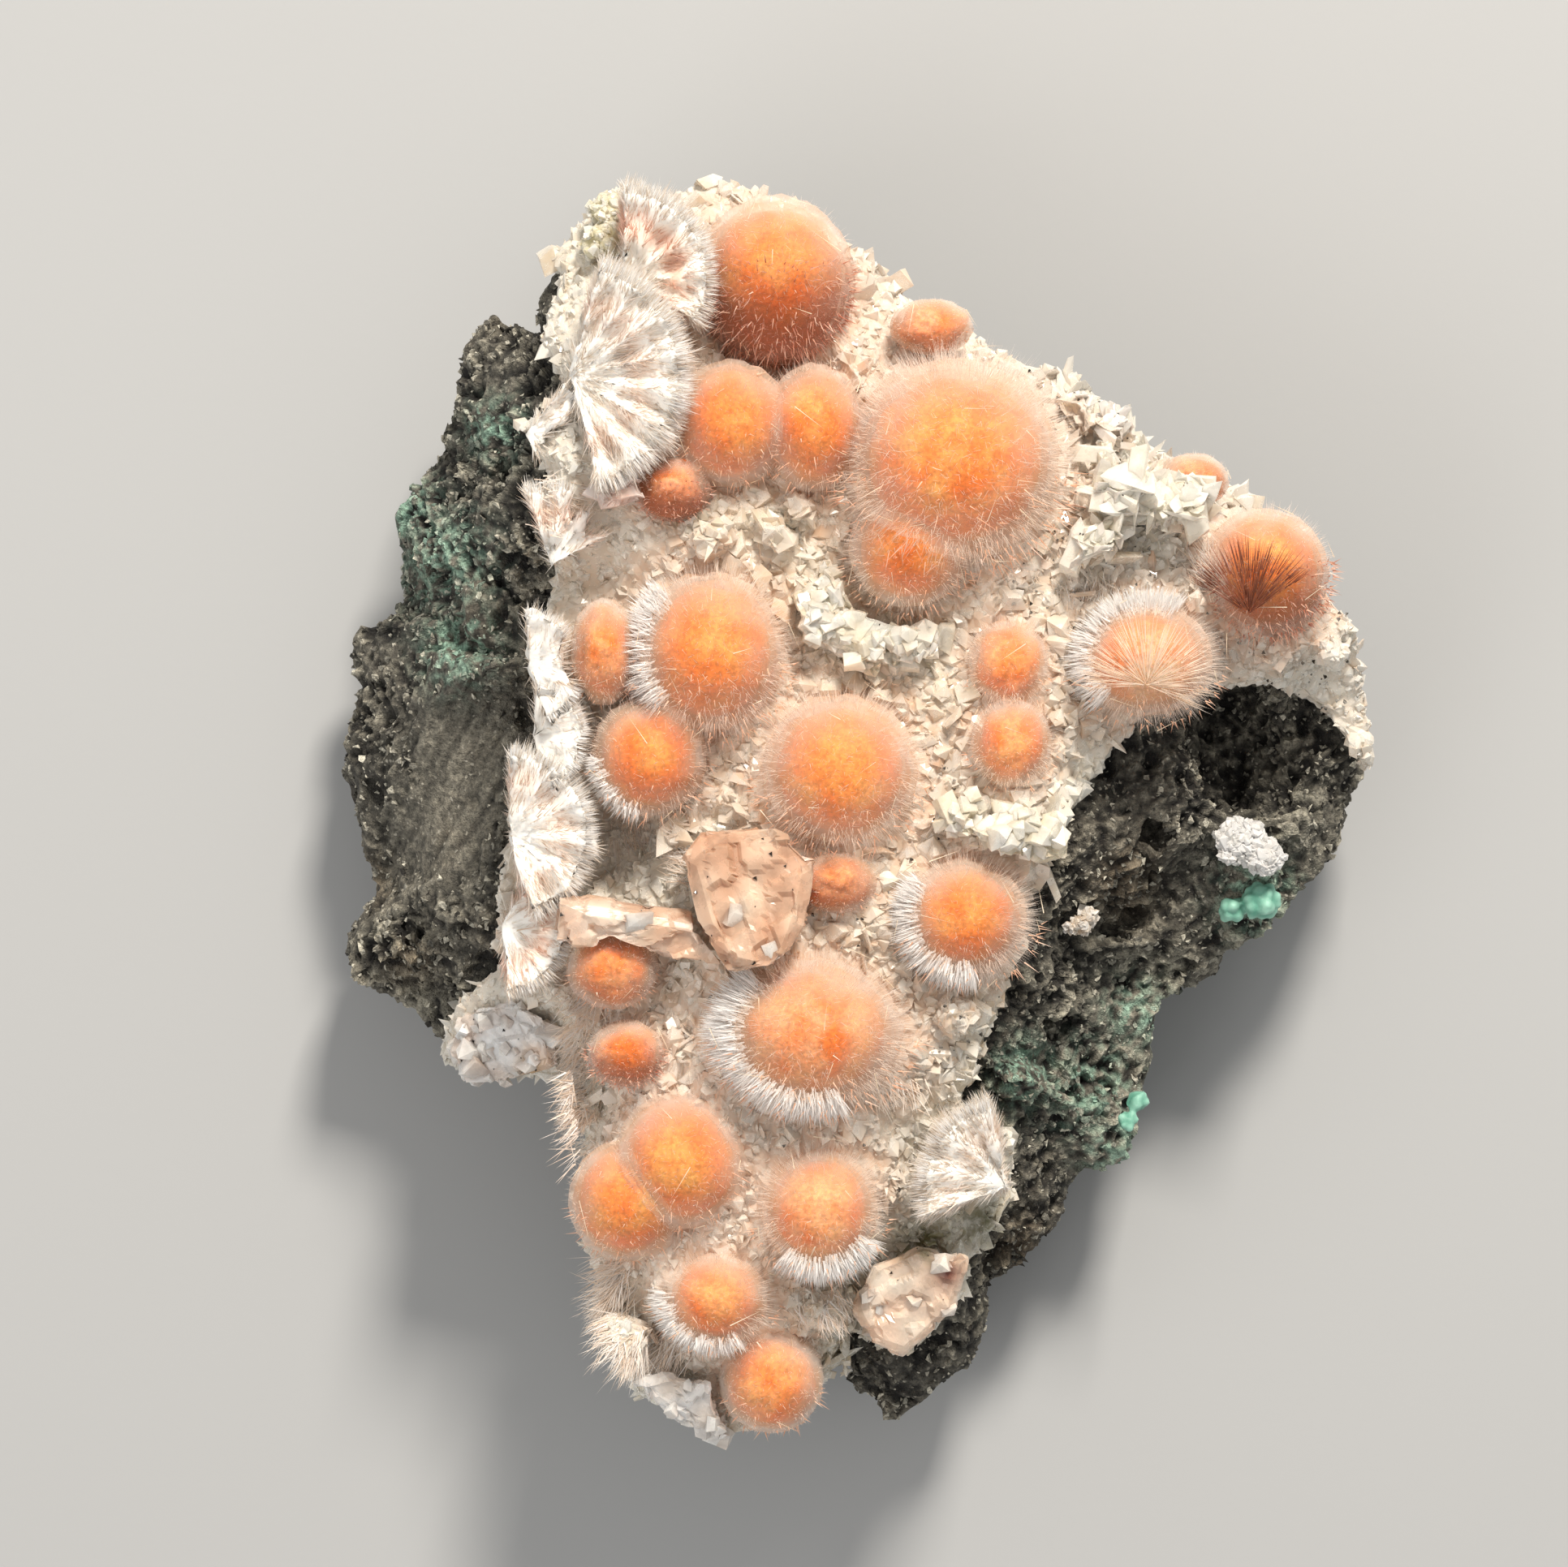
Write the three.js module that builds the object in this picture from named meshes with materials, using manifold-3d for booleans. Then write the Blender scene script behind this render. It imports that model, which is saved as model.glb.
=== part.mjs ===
// A hand specimen of thomsonite balls with mesolite needles, on a crust of pale crystals over basalt.
// Millimetres, +Z up. The specimen lies on its back: basalt below, crystal face up, top end to +Y.
import * as THREE from 'three';
import Module from 'manifold-3d';
import { ConvexGeometry } from 'three/addons/geometries/ConvexGeometry.js';
import { mergeVertices } from 'three/addons/utils/BufferGeometryUtils.js';

const wasm = await Module();
wasm.setup();

// Driving dimensions
const gap = 0.3; // left between pieces that touch
const crustThickness = 2.4; // the layer of small crystals
const crustReach = 1.2; // how far that layer stands out past the rock at the rim
const crustRoughness = 0.4;
const rimDrop = 3.2; // the rock rounds over by this much at its edge
const rimPoints = 60; // points around the rock's edge
const rimRings = [[0.16, 15], [0.31, 15], [0.45, 30], [0.59, 30], [0.73, 60], [0.87, 60]]; // radius, points
const sideRings = [[0.985, 0.62, 60], [0.9, 0.26, 30], [0.77, 0, 30]]; // radius, height, points
const spikeBody = 0.86; // a ball's body radius over the radius of its needle tips
const crustCrystals = 14;

// The rock

// The specimen's outline seen from above, clockwise from the top. The third value is 1 where the
// crust reaches the edge, so the rock stays behind it.
const outline = [
  [-10.7, 47.2, 1], [-7.1, 46.0, 1], [-3.5, 44.4, 1], [3.4, 38.7, 1], [6.4, 36.6, 1],
  [10.3, 34.2, 1], [16.6, 32.1, 1], [19.0, 29.4, 1], [22.9, 26.6, 1], [30.1, 22.7, 1],
  [32.5, 19.2, 1], [37.3, 13.5, 1], [38.2, 8.7, 1], [38.9, 5.7, 1], [37.9, 1.5, 0],
  [37.0, -1.5, 0], [33.7, -6.3, 0], [31.0, -9.3, 0], [26.5, -12.0, 0], [22.6, -14.7, 0],
  [22.0, -20.7, 0], [20.5, -27.3, 0], [16.9, -27.9, 0], [14.8, -32.1, 0], [10.3, -36.3, 0],
  [8.8, -42.3, 0], [3.1, -47.1, 0], [0.1, -45.0, 0], [-1.4, -41.7, 1], [-3.5, -44.7, 1],
  [-5.9, -46.4, 1], [-9.8, -47.2, 1], [-16.4, -44.4, 1], [-18.8, -37.8, 1], [-21.3, -29.7, 1],
  [-20.6, -25.5, 1], [-21.2, -19.5, 1], [-25.1, -20.3, 1], [-29.0, -20.7, 1], [-30.8, -18.3, 0],
  [-34.1, -14.7, 0], [-38.0, -12.9, 0], [-38.6, -10.5, 0], [-36.2, -6.3, 0], [-37.1, -1.5, 0],
  [-38.8, 3.3, 0], [-37.7, 8.7, 0], [-38.3, 13.8, 0], [-34.1, 15.0, 0], [-34.1, 18.9, 0],
  [-35.1, 22.2, 0], [-32.0, 26.1, 0], [-29.9, 30.9, 0], [-29.3, 34.5, 0], [-27.5, 36.9, 0],
  [-24.5, 36.6, 1], [-24.2, 39.3, 1], [-21.5, 43.1, 1], [-18.2, 45.6, 1], [-15.5, 45.3, 1],
];
const middle = [-0.5, 0.3]; // every point of the outline is seen from here

// Heights of the rock's surface at x, y
const relief = [
  // the basin under the crystals
  [-0.5, 21.3, 25], [-0.5, 11.7, 24.5], [5.5, 11.7, 25], [-9.5, 17.7, 26], [-3.5, -0.3, 26],
  [-6.5, -9.3, 27], [2.5, -15.3, 26], [-9.5, -21.3, 26], [-12.5, -30.3, 25], [-6.5, -36.3, 24],
  [-8.3, -44.7, 19], [-3.5, -26.1, 25],
  // its top end
  [-9.5, 44.7, 21], [-6.2, 39, 23], [-14.3, 41.7, 24], [0.1, 39.9, 20], [-17.9, 44.1, 21],
  [-17.9, 34.5, 26], [-21.5, 26.1, 27],
  // the upper right, and the rim over the hollow
  [5.5, 36.9, 19], [11.5, 32.7, 20], [17.5, 29.7, 20], [14.5, 20.7, 25], [20.5, 21.3, 24],
  [26.5, 23.7, 19], [30.1, 22.5, 17], [25.3, 16.5, 25], [32.5, 15.3, 21], [34.9, 11.7, 20],
  [20.5, 10.5, 27], [28.3, 12, 26], [37.3, 6.9, 18], [14.5, 8.7, 26], [10.3, -0.3, 27],
  [13.3, -5.1, 26],
  // the hollow
  [29.5, 6.3, 13], [23.5, 6.9, 16], [33.7, 3.9, 13],
  // the ridge beside the crystals
  [22.3, 1.5, 23], [17.5, -3.9, 25], [13.9, -12.3, 25], [10.3, -20.1, 23], [27.7, 2.1, 19],
  // the valley
  [21.7, -6.3, 16], [19.3, -12.3, 13], [17.5, -18.3, 12],
  // the outer ledge
  [36.1, 0.3, 17], [32.5, -3.9, 18], [30.1, -7.5, 17], [26.5, -10.5, 17], [22.3, -12.9, 16.5],
  [20.5, -17.7, 16], [19.9, -22.5, 15], [17.5, -25.5, 13],
  // the lower right
  [8.5, -27.3, 21], [13.9, -26.1, 14], [7.3, -36.3, 17], [4.3, -39.3, 17], [10.9, -36.3, 10],
  [3.7, -43.5, 10], [0.1, -41.1, 13],
  // the left flank, from the top down
  [-24.5, 34.5, 22], [-27.5, 35.7, 17], [-26.3, 29.7, 22], [-29.9, 26.1, 15], [-33.5, 22.5, 11],
  [-25.1, 21.3, 25], [-29.3, 17.7, 20], [-33.5, 15.3, 13], [-36.5, 13.5, 12], [-27.5, 11.7, 24],
  [-31.1, 8.7, 19], [-35.3, 9.9, 15], [-37.7, 3.3, 13], [-34.7, 3.3, 16], [-29.9, 2.7, 18],
  [-26.3, 2.1, 24], [-29.9, -3.3, 17], [-35.3, -3.9, 12], [-27.5, -6.3, 23], [-31.1, -8.1, 20],
  [-36.5, -11.7, 14], [-32.3, -14.1, 15], [-27.5, -14.7, 20], [-25.1, -18.3, 18],
  [-29.3, -18.9, 14], [-21.5, -15.3, 24],
];
const reliefBlend = 1.6; // distance over which two of these heights run together

// Lumps of the broken basalt: their width and height
const rockLumps = [[7.5, 1.5], [3.4, 1.2]];
// Places where the rock is smoother than elsewhere: x, y, radius, share of the lumps that stays
const calmPlaces = [[-30.5, 1.5, 5.5, 0.15], [-2, 5, 15, 0.45], [-8, -30, 12, 0.45]];

// A number between -1 and 1 for each pair of whole numbers and seed, always the same
function latticeValue(i, j, seed) {
  let h = Math.imul(i, 374761393) ^ Math.imul(j, 668265263) ^ Math.imul(seed, 1274126177);
  h = Math.imul(h ^ (h >>> 15), 739982445);
  h = Math.imul(h ^ (h >>> 12), 695872825);
  return ((h ^ (h >>> 15)) >>> 0) / 2147483648 - 1;
}

// Smooth noise between -1 and 1, with lumps about as wide as size
function noise(x, y, size, seed) {
  const i = Math.floor(x / size);
  const j = Math.floor(y / size);
  const u = THREE.MathUtils.smoothstep(x / size - i, 0, 1);
  const v = THREE.MathUtils.smoothstep(y / size - j, 0, 1);
  const low = THREE.MathUtils.lerp(latticeValue(i, j, seed), latticeValue(i + 1, j, seed), u);
  const high = THREE.MathUtils.lerp(latticeValue(i, j + 1, seed), latticeValue(i + 1, j + 1, seed), u);
  return THREE.MathUtils.lerp(low, high, v);
}

function rockHeight(x, y) {
  let sum = 0;
  let weights = 0;
  for (const [px, py, z] of relief) {
    const weight = 1 / ((x - px) ** 2 + (y - py) ** 2 + reliefBlend ** 2) ** 2;
    sum += weight * z;
    weights += weight;
  }
  let share = 1;
  for (const [px, py, radius, rest] of calmPlaces) {
    const nearness = Math.exp(-(((x - px) ** 2 + (y - py) ** 2) / radius ** 2));
    share *= 1 - (1 - rest) * nearness;
  }
  const lumps = rockLumps.reduce((z, [width, height], k) => z + height * noise(x, y, width, k + 1), 0);
  return sum / weights + share * lumps;
}

// A closed outline brought to count points by halving its longest stretches
function refined(points, count) {
  const found = [...points];
  while (found.length < count) {
    const lengths = found.map(([x, y], k) => {
      const [nx, ny] = found[(k + 1) % found.length];
      return Math.hypot(nx - x, ny - y);
    });
    const longest = lengths.indexOf(Math.max(...lengths));
    const next = found[(longest + 1) % found.length];
    found.splice(longest + 1, 0, found[longest].map((value, axis) => (value + next[axis]) / 2));
  }
  return found;
}

// Triangles between a ring of n points and the next ring, of n, 2n or n / 2
function joinRings(triangles, inner, innerCount, outer, outerCount) {
  const widest = Math.max(innerCount, outerCount);
  const innerAt = (k) => inner + Math.floor(k * innerCount / widest) % innerCount;
  const outerAt = (k) => outer + Math.floor(k * outerCount / widest) % outerCount;
  for (let k = 0; k < widest; k += 1) {
    const [a, b, c, d] = [innerAt(k), innerAt(k + 1), outerAt(k), outerAt(k + 1)];
    if (c !== d) triangles.push([a, c, d]);
    if (a !== b) triangles.push([a, d, b]);
  }
}

function solidFrom(points, triangles) {
  const vertProperties = new Float32Array(points.flat());
  const triVerts = new Uint32Array(triangles.flat());
  return new wasm.Manifold(new wasm.Mesh({ numProp: 3, vertProperties, triVerts }));
}

// A geometry whose faces share their corners
function shared(geometry) {
  geometry.deleteAttribute('normal');
  geometry.deleteAttribute('uv');
  return mergeVertices(geometry);
}

function solidOf(geometry) {
  const merged = shared(geometry);
  const vertProperties = new Float32Array(merged.attributes.position.array);
  const triVerts = new Uint32Array(merged.index.array);
  return new wasm.Manifold(new wasm.Mesh({ numProp: 3, vertProperties, triVerts }));
}

// The rock's form, pushed outward at the edge and upward on top. Its points run counterclockwise in
// rings around the middle: the top, then the sides, then the flat base that it rests on. With cling, the
// push ends on the sides, so that the form dives back into the rock there.
const edge = refined(outline, rimPoints).reverse();
const pushFrom = 0.85; // share of the radius where the outward push starts
const ringWobble = 0.8;
const sideWobble = 3.2; // of the sides, at the edge's height
const sideLedges = 3;
function rockForm(outward, upward, roughness, cling) {
  const [cx, cy] = middle;
  const topOf = (x, y) => rockHeight(x, y) + upward + roughness * noise(x, y, 2.6, 7);
  const points = [[cx, cy, topOf(cx, cy)]];
  const triangles = [];
  const addRing = (count, share, push, wobble, heightOf) => {
    const first = points.length;
    for (let n = 0; n < count; n += 1) {
      const k = n * rimPoints / count;
      const [dx, dy, covered] = [edge[k][0] - cx, edge[k][1] - cy, edge[k][2]];
      const reach = Math.hypot(dx, dy);
      const scale = share * (reach - covered * crustReach) / reach;
      const x = cx + scale * dx + wobble * noise(k, share * 40, 1.7, 3);
      const y = cy + scale * dy + wobble * noise(k, share * 40, 1.7, 4);
      const out = push * outward;
      points.push([x + out * dx / reach, y + out * dy / reach, heightOf(x, y, k)]);
    }
    return first;
  };
  let inner = 0;
  let innerCount = 0;
  for (const [share, count] of rimRings) {
    const outer = addRing(count, share, THREE.MathUtils.smoothstep(share, pushFrom, 1), ringWobble, topOf);
    if (innerCount === 0) {
      for (let k = 0; k < count; k += 1) triangles.push([0, outer + k, outer + (k + 1) % count]);
    } else {
      joinRings(triangles, inner, innerCount, outer, count);
    }
    inner = outer;
    innerCount = count;
  }
  const rim = addRing(rimPoints, 1, 1, 0, (x, y) => topOf(x, y) - rimDrop);
  joinRings(triangles, inner, innerCount, rim, rimPoints);
  inner = rim;
  innerCount = rimPoints;
  for (const [share, height, count] of sideRings) {
    const sideHeight = (x, y, k) => height * (points[rim + k][2] + sideLedges * noise(k, share, 1.3, 6));
    const outer = addRing(count, share, cling ? -1 : 1, height * sideWobble, sideHeight);
    joinRings(triangles, inner, innerCount, outer, count);
    inner = outer;
    innerCount = count;
  }
  const base = points.length;
  points.push([cx, cy, 0]);
  for (let k = 0; k < innerCount; k += 1) {
    triangles.push([base, inner + (k + 1) % innerCount, inner + k]);
  }
  return solidFrom(points, triangles);
}

// A ball with about 20 * (detail + 1)^2 faces and its corners moved in or out by a share of its radius
function lumpyBall([x, y, z], [rx, ry, rz], detail, unevenness, seed) {
  const merged = shared(new THREE.IcosahedronGeometry(1, detail));
  const position = merged.attributes.position;
  for (let k = 0; k < position.count; k += 1) {
    const size = 1 + unevenness * latticeValue(k, 11, seed);
    position.setXYZ(k, position.getX(k) * rx * size, position.getY(k) * ry * size,
      position.getZ(k) * rz * size);
  }
  return solidOf(merged.rotateZ(seed).translate(x, y, z));
}

// The hollow under the crust's arched rim, and the round gas holes: x, y, z, radii
const hollow = [[28.2, 6, 19], [8.8, 4.5, 7.6]];
const gasHoles = [
  [-26.6, 24.9, 1.7], [-30.6, 12.8, 1.9], [-33.4, -9.6, 1.9], [21.8, -1.9, 1.8], [14.6, -16.4, 1.7],
  [12.4, -31.6, 1.7],
];

function basalt() {
  let solid = rockForm(0, 0, 0, false).subtract(lumpyBall(hollow[0], hollow[1], 1, 0.12, 5));
  gasHoles.forEach(([x, y, radius], k) => {
    const centre = [x, y, rockHeight(x, y) + 0.1 * radius];
    solid = solid.subtract(lumpyBall(centre, [radius, radius, 1.2 * radius], 0, 0.1, k));
  });
  return solid;
}

// The band of the outline that the crust covers, counterclockwise, run out past the edge of the rock
const band = [
  [-26, 42.2], [-22.1, 39.9], [-23.6, 34.5], [-21.5, 30.9], [-24.8, 28.2], [-22.7, 23.7],
  [-22.6, 17.7], [-23.9, 11.7], [-22.1, 5.7], [-25.4, 0.6], [-26.9, -6.3], [-26.8, -11.7],
  [-30.5, -15.6], [-31.2, -18.2], [-34, -24], [-24, -40], [-18, -54], [0, -54], [-1.1, -38.7],
  [1.3, -40.5], [4.0, -41.1], [7.3, -37.5], [8.5, -33.9], [11.8, -29.1], [11.5, -24.3],
  [7.0, -22.8], [9.4, -17.7], [11.2, -12.9], [12.4, -8.1], [13.6, -4.2], [16.0, 0.3], [19.0, 4.2],
  [21.7, 7.5], [26.5, 9.0], [31.3, 9.0], [34.9, 7.5], [38.5, 2.7], [46, 0], [46, 30], [20, 52],
  [-10, 58], [-26, 54],
];
const bandTop = 60;

function bandPrism() {
  const shape = new THREE.Shape(band.map(([x, y]) => new THREE.Vector2(x, y)));
  const geometry = new THREE.ExtrudeGeometry(shape, { depth: bandTop, bevelEnabled: false });
  return solidOf(geometry.translate(0, 0, -gap));
}

function inside(loop, x, y) {
  let within = false;
  loop.forEach(([ax, ay], k) => {
    const [bx, by] = loop[(k + loop.length - 1) % loop.length];
    if (ay > y !== by > y && x < (bx - ax) * (y - ay) / (by - ay) + ax) within = !within;
  });
  return within;
}

// What the pieces on the crust and on the bare rock stand on, raised by the gap that they keep
const bareRock = rockForm(gap, gap, 0, false);
const ground = rockForm(crustReach + gap, crustThickness + gap, crustRoughness, false)
  .intersect(bandPrism()).add(bareRock);
const groundMesh = ground.getMesh();
const groundPoint = (k) => {
  const start = groundMesh.triVerts[k] * groundMesh.numProp;
  return groundMesh.vertProperties.slice(start, start + 3);
};
const groundFaces = [];
for (let k = 0; k < groundMesh.triVerts.length; k += 3) {
  groundFaces.push([groundPoint(k), groundPoint(k + 1), groundPoint(k + 2)]);
}

// The height of the ground at x, y, or 0 beside the specimen
function groundAt(x, y) {
  let top = 0;
  for (const [[ax, ay, az], [bx, by, bz], [cx, cy, cz]] of groundFaces) {
    const area = (bx - ax) * (cy - ay) - (by - ay) * (cx - ax);
    const u = ((x - ax) * (cy - ay) - (y - ay) * (cx - ax)) / area;
    const v = ((bx - ax) * (y - ay) - (by - ay) * (x - ax)) / area;
    const within = area > 0 && u >= 0 && v >= 0 && u + v <= 1;
    if (within) top = Math.max(top, az + u * (bz - az) + v * (cz - az));
  }
  return top;
}

// The plane that best fits the ground under a piece, raised until the ground lies under it
const seatMargin = 0.02;
const seatRings = [[0, 1], [0.25, 6], [0.5, 10], [0.75, 14], [0.95, 18]]; // share of the reach, spots
function seatPlane(x, y, reach) {
  const spots = [];
  for (const [share, count] of seatRings) {
    for (let k = 0; k < count; k += 1) {
      const angle = (k + share) * 2 * Math.PI / count;
      const px = x + share * reach * Math.cos(angle);
      const py = y + share * reach * Math.sin(angle);
      const height = groundAt(px, py);
      if (height > 0) spots.push([px, py, height]);
    }
  }
  const mean = [0, 1, 2].map((axis) => spots.reduce((sum, spot) => sum + spot[axis], 0) / spots.length);
  const moment = (a, b) => spots.reduce((sum, spot) => sum + (spot[a] - mean[a]) * (spot[b] - mean[b]), 0);
  const spread = moment(0, 0) * moment(1, 1) - moment(0, 1) ** 2;
  const slopeX = (moment(0, 2) * moment(1, 1) - moment(1, 2) * moment(0, 1)) / spread;
  const slopeY = (moment(1, 2) * moment(0, 0) - moment(0, 2) * moment(0, 1)) / spread;
  const level = (px, py) => mean[2] + slopeX * (px - mean[0]) + slopeY * (py - mean[1]);
  const corners = groundFaces.flat().filter(([px, py]) => Math.hypot(px - x, py - y) < 0.95 * reach);
  const bumps = [...spots, ...corners].map(([px, py, height]) => height - level(px, py));
  const raise = Math.max(...bumps) + seatMargin;
  return (px, py) => level(px, py) + raise;
}

// A block that fills the space on the far side of a plane, given by a point and its normal
const blockSide = 90;
function farSide(point, normal) {
  const block = new THREE.BoxGeometry(blockSide, blockSide, blockSide).translate(0, 0, blockSide / 2);
  const upright = new THREE.Vector3(0, 0, 1);
  block.applyQuaternion(new THREE.Quaternion().setFromUnitVectors(upright, normal.normalize()));
  return solidOf(block.translate(...point));
}

function cutToSeat(solid, plane, x, y) {
  const downward = new THREE.Vector3(plane(x + 1, y) - plane(x, y), plane(x, y + 1) - plane(x, y), -1);
  return solid.subtract(farSide([x, y, plane(x, y)], downward));
}

// The solids that grew on the rock

// A ball of radiating needles, by its middle and the radii to the needle tips. A spike stands on each
// face that is clear of the plane which the ball rests on.
const ballNets = {
  large: () => new THREE.OctahedronGeometry(1, 3),
  medium: () => new THREE.IcosahedronGeometry(1, 1),
  small: () => new THREE.OctahedronGeometry(1, 1),
};
function spinyBall([x, y, z], [rx, ry, rz], net, turn, plane) {
  const { attributes, index } = shared(ballNets[net]().rotateZ(turn).rotateX(0.4 * turn));
  const place = (v, size) => [x + v.x * rx * size, y + v.y * ry * size, z + v.z * rz * size];
  const corner = (k) => new THREE.Vector3().fromBufferAttribute(attributes.position, k);
  const points = [];
  for (let k = 0; k < attributes.position.count; k += 1) points.push(place(corner(k), spikeBody));
  const triangles = [];
  for (let k = 0; k < index.count; k += 3) {
    const [a, b, c] = [index.getX(k), index.getX(k + 1), index.getX(k + 2)];
    const way = corner(a).add(corner(b)).add(corner(c)).normalize();
    const tip = place(way, 1 - 0.05 * Math.abs(latticeValue(k, 5, 9)));
    if (tip[2] > plane(tip[0], tip[1])) {
      const top = points.push(tip) - 1;
      triangles.push([a, b, top], [b, c, top], [c, a, top]);
    } else {
      triangles.push([a, b, c]);
    }
  }
  return solidFrom(points, triangles);
}

// Two balls that grew against each other meet in a plane, which lies nearer to the smaller one
function facesOff(solid, [a, radiiA], [b, radiiB]) {
  const way = new THREE.Vector3(...b).sub(new THREE.Vector3(...a));
  const distance = way.length();
  if (distance > Math.max(...radiiA) + Math.max(...radiiB)) return solid;
  const [ra, rb] = [Math.min(radiiA[0], radiiA[1]), Math.min(radiiB[0], radiiB[1])];
  const share = ra / (ra + rb) - gap / 2 / distance;
  return solid.subtract(farSide(a.map((value, axis) => value + share * (b[axis] - value)), way));
}

// Clear room around a ball: a plain sphere whose flat faces stay outside the needle tips
function ballRoom(centre, radii) {
  const facetDip = 1.07;
  return lumpyBall(centre, radii.map((radius) => (radius + gap) * facetDip), 1, 0, 0);
}

// A ball split open: fibres run from its heart over a ridged face to the needle tips at the rim.
// heading and spread are degrees seen from above, rise is how far the face climbs to its crest, and
// extra is the clear room around it.
const splitRows = [[0.5, 0.6, 0.05], [0.88, 1, 0.06], [1, 0.3, 0]]; // radius, rise, ridge height, as shares
function splitBall([x, y, z], radius, heading, spread, rise, extra) {
  const steps = 2 * Math.max(3, Math.round(spread * radius / 100)) + 1;
  const points = [[x, y, z]];
  splitRows.forEach(([share, climb, ridge], row) => {
    for (let k = 0; k < steps; k += 1) {
      const up = k % 2 === 0 ? 1 : -1;
      const notch = row === 2 && up < 0 ? 0.9 : 1;
      const angle = THREE.MathUtils.degToRad(heading + spread * (2 * k / (steps - 1) - 1));
      const far = (radius * share + extra) * notch;
      const height = climb * rise + up * ridge * radius;
      points.push([x + far * Math.cos(angle), y + far * Math.sin(angle), z + height]);
    }
  });
  const at = (row, k) => 1 + row * steps + k;
  const triangles = [];
  for (let k = 0; k + 1 < steps; k += 1) {
    triangles.push([0, at(0, k), at(0, k + 1)]);
    for (let row = 0; row < 2; row += 1) {
      triangles.push([at(row, k), at(row + 1, k), at(row + 1, k + 1)]);
      triangles.push([at(row, k), at(row + 1, k + 1), at(row, k + 1)]);
    }
  }
  // the underside narrows towards the place where the ball sat on the rock
  const rimWay = Array.from({ length: steps }, (_, k) => at(2, k));
  const loop = [0, at(0, 0), at(1, 0), ...rimWay, at(1, steps - 1), at(0, steps - 1)];
  const low = points.length;
  for (const k of loop) {
    points.push([x + 0.7 * (points[k][0] - x), y + 0.7 * (points[k][1] - y), z - 0.7 * radius - extra]);
  }
  for (const point of points.slice(0, low)) point[2] += extra;
  loop.forEach((top, k) => {
    const next = (k + 1) % loop.length;
    triangles.push([top, low + k, low + next], [top, low + next, loop[next]]);
    if (k > 0 && k + 1 < loop.length) triangles.push([low, low + k + 1, low + k]);
  });
  return solidFrom(points, triangles);
}

function turnedHull(points, [tiltX, tiltY, turn], [x, y, z]) {
  const geometry = new ConvexGeometry(points.map((point) => new THREE.Vector3(...point)));
  const tilt = new THREE.Euler(tiltX, tiltY, turn, 'ZYX');
  geometry.applyMatrix4(new THREE.Matrix4().makeRotationFromEuler(tilt));
  return solidOf(geometry.translate(x, y, z));
}

const fourWays = [[1, 1], [-1, 1], [-1, -1], [1, -1]];

// A crystal: a square prism whose upper corners are cut back by the share given
function crystal(place, [width, depth, height], cut, tilts, extra) {
  const [w, d, h] = [width / 2 + extra, depth / 2 + extra, height / 2 + extra];
  const points = fourWays.flatMap(([i, j]) => [[i * w, j * d, -h], [i * w, j * d, h * (1 - 1.4 * cut)],
    [i * w * (1 - cut), j * d * (1 - cut), h]]);
  return turnedHull(points, tilts, place);
}

// A small crystal of the crust: a square prism with a blunt pyramid on it
function pointedCrystal(place, size, tilts) {
  const points = fourWays.flatMap(([i, j]) => [[i * 0.5 * size, j * 0.4 * size, -0.75 * size],
    [i * 0.5 * size, j * 0.4 * size, 0.25 * size]]);
  return turnedHull([...points, [0, 0, 0.75 * size]], tilts, place);
}

// A blade: a thin four-sided crystal with a wedge at its end
function blade(place, [width, thickness, length], tilts, extra) {
  const [w, t, l] = [width / 2 + extra, thickness / 2 + extra, length / 2 + extra];
  const points = fourWays.flatMap(([i, j]) => [[i * w, j * t, -l], [i * w, j * t, 0.65 * l],
    [i * 0.55 * w, 0, l]]);
  return turnedHull(points, tilts, place);
}

// A slab over an outline given at its top face, with the face tilted and its rim chamfered
function slab(plan, top, thickness, chamfer, [slopeX, slopeY], extra) {
  const cx = plan.reduce((sum, p) => sum + p[0], 0) / plan.length;
  const cy = plan.reduce((sum, p) => sum + p[1], 0) / plan.length;
  const points = [];
  for (const [px, py] of plan) {
    const reach = Math.hypot(px - cx, py - cy);
    const level = top + slopeX * (px - cx) + slopeY * (py - cy);
    for (const [inset, drop] of [[chamfer, -extra], [0, 0.8 * chamfer], [0, thickness + extra]]) {
      const scale = (reach - inset + extra) / reach;
      points.push(new THREE.Vector3(cx + scale * (px - cx), cy + scale * (py - cy), level - drop));
    }
  }
  return solidOf(new ConvexGeometry(points));
}

function joined(solids) {
  return solids.reduce((whole, solid) => whole.add(solid));
}

// Materials
const looks = {
  basalt: new THREE.MeshStandardMaterial({ color: 0x3f3d38, roughness: 0.92, metalness: 0 }),
  druse: new THREE.MeshStandardMaterial({ color: 0xd8ccb8, roughness: 0.35, metalness: 0 }),
  thomsonite: new THREE.MeshStandardMaterial({ color: 0xf08b42, roughness: 0.75, metalness: 0 }),
  mesolite: new THREE.MeshStandardMaterial({ color: 0xf3e6d8, roughness: 0.6, metalness: 0 }),
  clearCrystal: new THREE.MeshStandardMaterial({ color: 0xe3dccb, roughness: 0.2, metalness: 0 }),
  creamLumps: new THREE.MeshStandardMaterial({ color: 0xe4dab2, roughness: 0.6, metalness: 0 }),
  celadonite: new THREE.MeshStandardMaterial({ color: 0x6fb19a, roughness: 0.8, metalness: 0 }),
  zeolite: new THREE.MeshStandardMaterial({ color: 0xf1eee6, roughness: 0.6, metalness: 0 }),
};

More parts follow.
